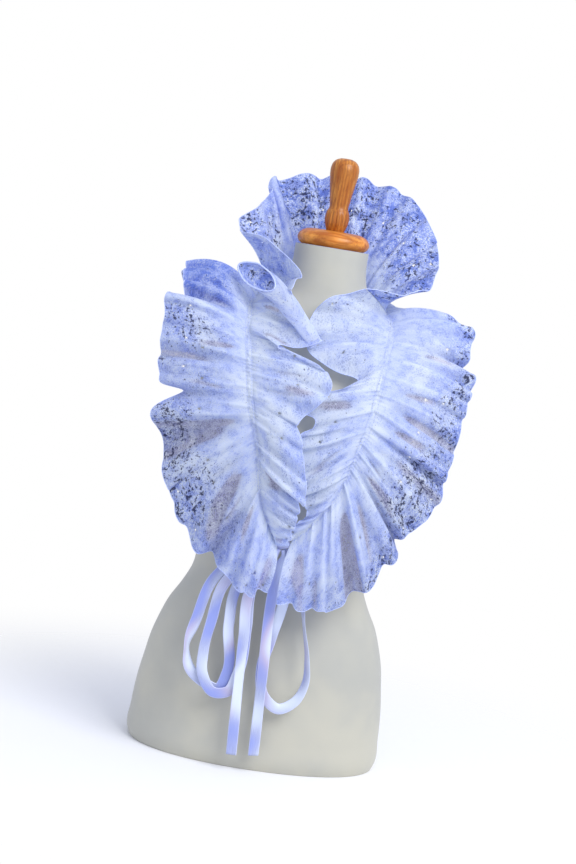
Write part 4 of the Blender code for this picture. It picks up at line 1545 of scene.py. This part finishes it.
# %% [markdown]
# ## Hems and gathering stitches
#
# The cut edges of lace are finished with a fine rolled hem, and two rows of running
# stitches hold the channel that the ribbon runs in. A curve with a round bevel gives
# thread along any path, and once it is turned into a mesh it is an ordinary piece: the
# hems follow the first and last row of the sheet, and each stitch rises a little from the
# cloth between the two places where it goes in.

# %% Thread
HEM_ROLL = 0.6 * MM
STITCH_THREAD = 0.3 * MM
STITCH_LENGTH = 2.7 * MM
STITCH_STEP = 4.1 * MM
STITCH_ROW = 3
STITCH_ARCH = (0.0, 0.45, 0.6, 0.45, 0.0)
THREAD_TONES = (0.42, 0.50, 0.86), (0.66, 0.74, 1.0)


def thread_material():
    material, tree = new_tree("white_cotton_thread")
    twist = noise(tree, add(tree, "TexCoord").outputs["Object"], 900.0, 1.0)
    colour = mix_colour(tree, ramp(tree, twist, 0.35, 0.65), *THREAD_TONES)
    finish = {"Roughness": 0.75, "Sheen Weight": 0.2}
    finish_surface(tree, principled(tree, colour, twist, 0.3, 0.2 * MM, finish))
    return material


THREAD = thread_material()
print("thread:", HEM_ROLL / MM, "mm in the hems,", STITCH_THREAD / MM, "mm in the stitches")


# %% Thread along paths
def thread_piece(name, paths, radius, sides):
    """Round thread along each of some paths, as one mesh."""
    curve = bpy.data.curves.new(name, "CURVE")
    curve.dimensions = "3D"
    curve.bevel_depth = radius
    curve.bevel_resolution = sides
    curve.use_fill_caps = True
    for path in paths:
        spline = curve.splines.new("POLY")
        spline.points.add(len(path) - 1)
        for point, place in zip(spline.points, path):
            point.co = (*place, 1)
    drawn = bpy.data.objects.new(name + "_curve", curve)
    mesh = bpy.data.meshes.new_from_object(drawn)
    bpy.data.objects.remove(drawn)
    mesh.name = name
    return as_piece(mesh, name, THREAD)


# %% Hems and stitches
def stitch_paths(points, row, outwards):
    """Running stitches along one row of the sheet, each a short arch off the cloth."""
    line = points[row]
    run = run_along(line)
    across = unit(points[row + 1] - points[row - 1])
    normal = unit(np.cross(across, unit(np.gradient(line, axis=0)))) * outwards
    lift = LACE_WALL / 2 + np.array(STITCH_ARCH)[:, None] * MM
    paths = []
    for start in np.arange(STITCH_STEP, run[-1] - STITCH_STEP, STITCH_STEP):
        stops = start + STITCH_LENGTH * np.linspace(0, 1, len(STITCH_ARCH))
        place, way = (
            np.stack([np.interp(stops, run, values[:, k]) for k in range(3)], axis=1)
            for values in (line, normal)
        )
        paths.append(place + unit(way) * lift)
    return paths


for name, (piece, size, points) in lace.items():
    hems = thread_piece(name + "_hems", (points[0], points[-1]), HEM_ROLL, 1)
    across = points[LINE_ROW + 1] - points[LINE_ROW - 1]
    cloth_normal = np.cross(across, np.gradient(points[LINE_ROW], axis=0))
    outwards = np.array(PANELS[name]["outside"]["outward"], float)
    facing = 1 if (cloth_normal @ outwards).mean() > 0 else -1
    paths = []
    for row in (LINE_ROW - STITCH_ROW, LINE_ROW + STITCH_ROW):
        paths += stitch_paths(points, row, facing)
    thread_piece(name + "_stitches", paths, STITCH_THREAD, 0)
    print(name, "hems", len(hems.data.polygons), "faces;", len(paths), "stitches")

# %% [markdown]
# ## The open end of the channel
#
# At the left of the neck the channel stands off from the ruffle as a flattened lace tube.
# Its end is cut on a slant, so one looks into it from the front. A grid is bent round an
# axis of listed points, and each column starts later towards the front, which gives
# the slanting mouth. A thicker roll of thread finishes its rim.

# %% Measures of the channel end
CHANNEL_END_COLUMNS = ("x", "y", "z", "wide", "thick")
CHANNEL_END = (
    (-131, -52, 700, 12, 5),
    (-103, -64, 689, 16, 6),
    (-71, -81, 672, 15, 4.5),
    (-38, -117, 642, 12, 3),
    (-8, -124, 611, 9, 2),
)
CHANNEL_END_ROUND = 48
CHANNEL_END_ROWS = 40
CHANNEL_END_STEP = 0.01
CHANNEL_END_CREASES = {"wide": (0.03, 26, 2), "thick": (0.08, 17, 5)}
# Inside the mouth the tube gets painted shade through depth, is thinner through cover, and is
# more open.
CHANNEL_END_LOOKS = {"cover": (0.95, -0.3), "depth": (0.0, 0.9), "open": (0.2, 0.4)}
MOUTH_REACH = 0.48
MOUTH_SHADE_ENDS = (0.35, 0.6)
MOUTH_ROLL = 1.3 * MM
TOWARDS_VIEWER = np.array((0.0, -1.0, 0.0))


# %% Make the channel end
def creased_size(rows, key, marks, at, turn):
    """The tube's width or thickness, with soft creases along it and round it."""
    height, along, around = CHANNEL_END_CREASES[key]
    crease = 1 + height * np.sin(along * at + around * turn)
    return through(marks, rows[key] * MM, at) * crease


def channel_end_points(rows, turn):
    """Rings round the tube's axis, and how far each point lies inside its mouth."""
    stations = points_of(rows)
    marks = np.linspace(0, 1, len(stations))
    start = MOUTH_REACH * (1 + np.cos(turn)) / 2
    points, inside = [], []
    for share in np.linspace(0, 1, CHANNEL_END_ROWS + 1):
        at = start + (1 - start) * share
        next_place = through(marks, stations, at + CHANNEL_END_STEP)
        last_place = through(marks, stations, at - CHANNEL_END_STEP)
        ahead = unit(next_place - last_place)
        side = unit(np.cross(ahead, TOWARDS_VIEWER))
        front = unit(np.cross(side, ahead))
        wide = creased_size(rows, "wide", marks, at, turn)
        thick = creased_size(rows, "thick", marks, at, turn)
        ring = side * (wide * np.sin(turn))[:, None] + front * (thick * np.cos(turn))[:, None]
        points.append(through(marks, stations, at) + ring)
        inside.append((1 - np.cos(turn)) / 2 * (1 - soft_step(at, *MOUTH_SHADE_ENDS)))
    return np.array(points), np.array(inside)


def channel_end_piece():
    rows = table(CHANNEL_END_COLUMNS, CHANNEL_END)
    turn = 2 * math.pi * np.arange(CHANNEL_END_ROUND + 1) / CHANNEL_END_ROUND
    points, inside = channel_end_points(rows, turn)
    looks = {key: plain + more * inside for key, (plain, more) in CHANNEL_END_LOOKS.items()}
    steps = np.linalg.norm(np.diff(points, axis=0), axis=2)
    run = np.concatenate([[0], np.cumsum(steps.mean(axis=1))])
    widest, thickest = rows["wide"].max() * MM, rows["thick"].max() * MM
    girth = 2 * math.pi * math.sqrt((widest**2 + thickest**2) / 2)

    def cut_place(face, corner):
        row, column = divmod(corner.index, CHANNEL_END_ROUND + 1)
        return girth * column / CHANNEL_END_ROUND, run[row]

    work = grid_on(points, **looks)
    draw_cut(work, cut_place)
    area = sum(face.calc_area() for face in work.faces)
    bmesh.ops.remove_doubles(work, verts=work.verts, dist=WELD)
    bmesh.ops.recalc_face_normals(work, faces=work.faces)
    mesh = mesh_from(work, "channel_end")
    piece = as_piece(mesh, "channel_end", LACE, wall=LACE_WALL)
    rims = thread_piece("channel_end_rims", (points[0], points[-1]), MOUTH_ROLL, 1)
    return piece, rims, (girth, steps.sum(axis=0).max()), area


channel_end, channel_end_rims, channel_end_flat, channel_end_area = channel_end_piece()
print("channel end:", [round(v, 3) for v in (*channel_end_flat, channel_end_area)])

# %% [markdown]
# ## The padded form
#
# A dress form is a stuffed body under a smooth knit cover. The solid has a ring of points
# at each level; the piece here has a finer ring every few millimetres, read from smooth
# curves through the same levels, so that its outline is soft from every side.

# %% Form cover
FORM_SIDES = 96
FORM_RINGS = 150


def form_cover():
    levels = table(FORM_COLUMNS, FORM_LEVELS)
    heights = np.linspace(levels["z"][0], levels["z"][-1], FORM_RINGS)
    wide, front, back = (through(levels["z"], levels[key], heights) for key in FORM_COLUMNS[1:])
    turn = 2 * math.pi * (np.arange(FORM_SIDES + 1) % FORM_SIDES) / FORM_SIDES
    power = 2 / FORM_ROUNDNESS
    ways = (np.cos(turn), np.sin(turn))
    across, along = (np.copysign(np.abs(way) ** power, way) for way in ways)
    deep = np.where(along > 0, back[:, None], front[:, None])
    upright = np.repeat(heights[:, None], len(turn), axis=1)
    points = np.stack([wide[:, None] * across, deep * along, upright], axis=2) * MM
    work = grid_on(points)
    bmesh.ops.remove_doubles(work, verts=work.verts, dist=WELD)
    rims = [edge for edge in work.edges if edge.is_boundary]
    bmesh.ops.holes_fill(work, edges=rims, sides=0)
    bmesh.ops.recalc_face_normals(work, faces=work.faces)
    mesh = mesh_from(work, "form_cover")
    return as_piece(mesh, "form_cover", JERSEY, node="form_torso", sharp=True)


cover_piece = form_cover()
print("form cover:", len(cover_piece.data.polygons), "faces")

# %% [markdown]
# ## Turned wood
#
# The cap and the finial are turned on a lathe, so each is a profile that is spun round.
# Soft curves through the profile's points give the turned look. The ball at the foot of
# the finial is carved with shallow flutes, which pull every few points of a ring inwards.

# %% Profiles of the cap and the finial
CAP_BOTTOM = 744.3
CAP_PROFILE = (
    (0, 24), (30, 24), (40, 22.5), (47, 19), (51, 14), (52, 9), (50, 4), (45, 0), (0, 0),
)
FINIAL_BOTTOM = CAP_BOTTOM + 24.3
FINIAL_PROFILE = (
    (0, 104), (8, 103.5), (14, 101), (18.5, 96), (20.5, 89), (20.6, 83), (18.6, 68),
    (16.4, 54), (14.6, 42), (13.6, 34), (14.2, 31), (16.2, 27), (17.4, 20), (17, 12),
    (14.8, 5), (13, 0), (0, 0),
)
LATHE_STEPS = 120
PROFILE_STEP = 1.2
FLUTES = 15
FLUTE_DEPTH = 1.4 * MM
FLUTE_ROUNDNESS = 0.5
FLUTED = (3.0, 29.0)


# %% Turn and carve them
def carve_flutes(work, bottom):
    """Grooves up and down a turned shape, between two heights over its bottom."""
    low, high = ((bottom + height) * MM for height in FLUTED)
    for corner in work.verts:
        share = (corner.co.z - low) / (high - low)
        if 0 < share < 1:
            turn = math.atan2(corner.co.y, corner.co.x)
            ridge = abs(math.sin(turn * FLUTES / 2)) ** FLUTE_ROUNDNESS
            pull = FLUTE_DEPTH * (1 - ridge) * math.sin(math.pi * share)
            corner.co -= Vector((corner.co.x, corner.co.y, 0)).normalized() * pull


def turned_piece(name, profile, bottom, material, fluted=False):
    """A profile spun round the upright axis."""
    stations = np.array(profile, float)
    marks = run_along(stations)
    at = np.append(np.arange(marks[1], marks[-2], PROFILE_STEP), marks[-2])
    curve = through(marks[1:-1], stations[1:-1], at)
    outline = np.concatenate([stations[:1], curve, stations[-1:]])
    work = bmesh.new()
    corners = [work.verts.new((r * MM, 0, (z + bottom) * MM)) for r, z in outline]
    edges = [work.edges.new(pair) for pair in zip(corners, corners[1:])]
    bmesh.ops.spin(
        work,
        geom=corners + edges,
        axis=(0, 0, 1),
        cent=(0, 0, 0),
        angle=2 * math.pi,
        steps=LATHE_STEPS,
        use_merge=True,
    )
    bmesh.ops.remove_doubles(work, verts=work.verts, dist=WELD)
    if fluted:
        carve_flutes(work, bottom)
    bmesh.ops.recalc_face_normals(work, faces=work.faces)
    mesh = mesh_from(work, name)
    return as_piece(mesh, name, material, node="form_" + name, sharp=True)


cap = turned_piece("neck_cap", CAP_PROFILE, CAP_BOTTOM, WOOD_ACROSS)
finial = turned_piece("finial", FINIAL_PROFILE, FINIAL_BOTTOM, WOOD_UPRIGHT, fluted=True)
print("turned wood:", len(cap.data.polygons), "and", len(finial.data.polygons), "faces")

# %% [markdown]
# ## Ribbons and their knot
#
# The ribbon that gathers the lace comes out at the bottom and is tied, with three loops
# and two free ends. Each follows the same route as its solid. Satin bends in one
# direction only, so the ribbon is a narrow sheet that turns a little as it falls, with a
# slight hollow across it. The knot is a soft wrap with folds drawn in round it.

# %% Routes and turns of the ribbons
KNOT_CENTRE = (-10, -138, 332)
KNOT_SIZE = (23, 15, 15)
RIBBON_WIDTH = 15.0 * MM
RIBBON_WALL = 0.45 * MM
RIBBON_ROUTES = {
    "ribbon_loop_left_wide": (
        (-22, -129, 317), (-40, -129, 303), (-70, -129, 296), (-94, -129, 270),
        (-111, -129, 207), (-118, -129, 166), (-110, -129, 138), (-87, -129, 120),
        (-66, -129, 114), (-57, -129, 138), (-65, -130, 207), (-62, -130, 262),
        (-44, -130, 294), (-15, -130, 313),
    ),
    "ribbon_loop_left_narrow": (
        (-22, -138, 324), (-40, -136, 306), (-64, -135, 286), (-79, -134, 266),
        (-90, -134, 207), (-94, -134, 166), (-90, -134, 132), (-71, -134, 109),
        (-52, -134, 113), (-42, -134, 139), (-40, -134, 207), (-42, -135, 262),
        (-34, -136, 294), (-15, -138, 316),
    ),
    "ribbon_loop_right": (
        (-3, -133, 320), (3, -131, 304), (6, -130, 261), (-4, -130, 193),
        (-10, -130, 152), (1, -130, 111), (22, -130, 98), (43, -130, 111),
        (54, -130, 139), (51, -130, 173), (39, -130, 220), (29, -131, 261),
        (16, -133, 296), (2, -137, 322),
    ),
    "ribbon_tail_left": (
        (-15, -144, 321), (-28, -141, 296), (-44, -139, 258), (-42, -139, 193),
        (-37, -139, 91), (-33, -139, 26),
    ),
    "ribbon_tail_right": (
        (-7, -141, 319), (-10, -139, 300), (-12, -136, 261), (-8, -135, 152),
        (-5, -135, 91), (-2, -135, 28),
    ),
}
# How far each ribbon has turned about its own length, in degrees, at millimetres from
# the knot. A loop is seen edge-on where it turns most.
RIBBON_TURNS = {
    "ribbon_loop_left_wide": (
        (0, 0), (150, 0), (170, 4), (210, 60), (236, 20), (256, 0), (276, 0), (521, 0),
    ),
    "ribbon_loop_left_narrow": (
        (0, 0), (50, 0), (110, -12), (165, 20), (205, 4), (225, 0), (245, 0), (492, 0),
    ),
    "ribbon_loop_right": (
        (0, 0), (170, 0), (190, 0), (232, 10), (262, 34), (300, 52), (350, 70), (395, 74),
        (445, 16), (462, 0), (476, 0), (497, 0),
    ),
    "ribbon_tail_left": ((0, 0), (120, 0), (200, 24), (307, -12)),
    "ribbon_tail_right": ((0, 0), (150, 0), (215, -22), (298, 14)),
}
print("ribbons:", len(RIBBON_ROUTES))

# %% Make the ribbons
RIBBON_STEP = 3.0 * MM
RIBBON_COLUMNS = 9
RIBBON_TAPER = 26.0 * MM
RIBBON_GATHERED = 0.3
RIBBON_HOLLOW = 0.35 * MM
KNOT_GAP = 1.1 * MM
KNOT_STRAIGHT = 8.0 * MM


def leave_knot(point):
    """Two points straight out of the knot towards a point, the first off its skin."""
    centre = np.array(KNOT_CENTRE, float) * MM
    arm = point - centre
    reach = np.linalg.norm(arm / (np.array(KNOT_SIZE) / 2 * MM))
    start = centre + arm / reach + unit(arm) * KNOT_GAP
    return np.array([start, start + unit(arm) * KNOT_STRAIGHT])


def turned_frame(node, middle, at):
    """Directions across a ribbon and out of its face, turned about its own length."""
    ahead = unit(np.gradient(middle, axis=0))
    across = unit(np.cross(ahead, TOWARDS_VIEWER))
    face = unit(np.cross(across, ahead))
    turns = np.array(RIBBON_TURNS[node], float)
    turn = np.radians(through(turns[:, 0] * MM, turns[:, 1:], at))
    return (
        across * np.cos(turn) + face * np.sin(turn),
        face * np.cos(turn) - across * np.sin(turn),
    )


def ribbon_piece(node, route, first):
    """A ribbon along its route; first is where it was cut from the whole length."""
    stations = np.array(route, float) * MM
    stations = np.concatenate([leave_knot(stations[0]), stations[1:]])
    if "loop" in node:
        stations = np.concatenate([stations[:-1], leave_knot(stations[-1])[::-1]])
    marks = run_along(stations)
    at = np.linspace(0, marks[-1], int(marks[-1] / RIBBON_STEP))
    middle = through(marks, stations, at)
    across, face = turned_frame(node, middle, at)
    from_end = np.minimum(at, marks[-1] - at) if "loop" in node else at
    half = RIBBON_WIDTH / 2 * np.clip(from_end / RIBBON_TAPER, RIBBON_GATHERED, 1)
    lanes = np.linspace(-1, 1, RIBBON_COLUMNS)
    spread = lanes[:, None, None] * half[None, :, None]
    hollow = (RIBBON_HOLLOW * (1 - lanes**2))[:, None, None]
    points = middle[None] + across[None] * spread + face[None] * hollow

    def cut_place(face_of, corner):
        lane, place = divmod(corner.index, len(at))
        return lanes[lane] * RIBBON_WIDTH / 2, at[place] + first

    work = grid_on(points)
    draw_cut(work, cut_place)
    name = node + "_satin"
    mesh = mesh_from(work, name)
    return as_piece(mesh, name, SATIN, node=node, wall=RIBBON_WALL), marks[-1]


ribbons = {}
ribbon_used = 0.0
for node, route in RIBBON_ROUTES.items():
    ribbons[node] = ribbon_piece(node, route, ribbon_used)
    ribbon_used += ribbons[node][1]
    print(node, round(ribbons[node][1] / MM), "mm long")

# %% Knot
KNOT_SIDES = 64
KNOT_RINGS = 40
KNOT_WRAPS = 3
WRAP_DEPTH = 0.07
WRAP_ROUNDNESS = 0.6
WRAP_LEAN = 0.35


def knot_piece():
    work = bmesh.new()
    bmesh.ops.create_uvsphere(work, u_segments=KNOT_SIDES, v_segments=KNOT_RINGS, radius=0.5)
    for corner in work.verts:
        lean = corner.co.z + WRAP_LEAN * corner.co.x
        fold = abs(math.sin(math.pi * KNOT_WRAPS * lean)) ** WRAP_ROUNDNESS
        corner.co *= 1 - WRAP_DEPTH * (1 - fold)
    bmesh.ops.scale(work, verts=work.verts, vec=Vector(KNOT_SIZE) * MM)
    bmesh.ops.translate(work, verts=work.verts, vec=Vector(KNOT_CENTRE) * MM)
    draw_cut(work, lambda face, corner: (corner.co.z - KNOT_CENTRE[2] * MM, corner.co.x))
    mesh = mesh_from(work, "knot_satin")
    return as_piece(mesh, "knot_satin", SATIN, node="ribbon_knot")


knot = knot_piece()
print("knot:", len(knot.data.polygons), "faces")

# %% [markdown]
# ## The sheets of cloth
#
# Cloth keeps its area when it is gathered. The strip is shaped: its hems are longer than
# its middle, most of all round the neck, and it narrows towards the knot. Here the longer
# hem of each length is read, and the sheets are counted.

for name, (piece, size, _) in lace.items():
    max(size["outer hem"], size["inner hem"])
print("sheets:", len(lace) + 1 + len(ribbons))

# %% [markdown]
# ## Floor, light and world
#
# The photograph is a bright cut-out on white. A white world lights everything evenly, and
# one large lamp from the right gives the folds their shade, with a faint one from the left.
# The floor is a pale disc that fades out, so that no horizon shows.

# %% Floor
FLOOR_RADIUS = 0.95
FLOOR_SIDES = 96
FLOOR_BELOW = 0.5 * MM
FLOOR_FADES_FROM = 0.16
FLOOR_FADED_BY = 0.9 * FLOOR_RADIUS
FLOOR_COLOUR = (0.93, 0.93, 0.94)


def floor_material():
    material, tree = new_tree("pale_floor")
    place = add(tree, "TexCoord").outputs["Object"]
    away = on_vectors(tree, "LENGTH", {0: place}, "Value")
    fade = ramp(tree, away, FLOOR_FADES_FROM, FLOOR_FADED_BY, 1.0, 0.0)
    matt = add(tree, "BsdfDiffuse", {"Color": FLOOR_COLOUR})
    finish_surface(tree, mix_shader(tree, fade, add(tree, "BsdfTransparent"), matt))
    return material


floor_work = bmesh.new()
bmesh.ops.create_circle(floor_work, cap_ends=True, segments=FLOOR_SIDES, radius=FLOOR_RADIUS)
floor_mesh = mesh_from(floor_work, "floor")
floor_mesh.materials.append(floor_material())
floor = link(bpy.data.objects.new("floor", floor_mesh))
floor.location.z = -FLOOR_BELOW
print("floor:", FLOOR_RADIUS, "m in radius")

# %% World and lamps
AMBIENT = 0.81
AMBIENT_COLOUR = (0.87, 0.92, 1.08)
BACKGROUND_COLOUR = (1, 1, 1)
LAMPS = (
    {"name": "key", "azimuth": 34, "elevation": 40, "away": 2.6, "size": 1.4, "power": 49},
    {"name": "fill", "azimuth": -50, "elevation": 12, "away": 2.8, "size": 1.6, "power": 0.8},
)
LAMP_AIM = Vector((0.0, 0.0, 0.5))
CLEAR_LAYERS = 24

world = bpy.data.worlds.new("white_room")
world.use_nodes = True
bpy.context.scene.world = world
room = world.node_tree
room.nodes.clear()
seen = add(room, "Background", {"Color": BACKGROUND_COLOUR, "Strength": 1.0})
lights = add(room, "Background", {"Color": AMBIENT_COLOUR, "Strength": AMBIENT})
for_camera = add(room, "LightPath").outputs["Is Camera Ray"]
chosen = mix_shader(room, for_camera, lights, seen)
add(room, "OutputWorld", {"Surface": chosen.outputs[0]})
for row in LAMPS:
    lamp = link(bpy.data.objects.new(row["name"], bpy.data.lights.new(row["name"], "AREA")))
    lamp.data.energy = row["power"]
    lamp.data.size = row["size"]
    way = direction_to(math.radians(row["azimuth"]), math.radians(row["elevation"]))
    lamp.matrix_world = looking_back(LAMP_AIM + way * row["away"], LAMP_AIM)
bpy.context.scene.view_settings.view_transform = "Standard"
bpy.context.scene.cycles.transparent_max_bounces = CLEAR_LAYERS
print("lamps:", [row["name"] for row in LAMPS])
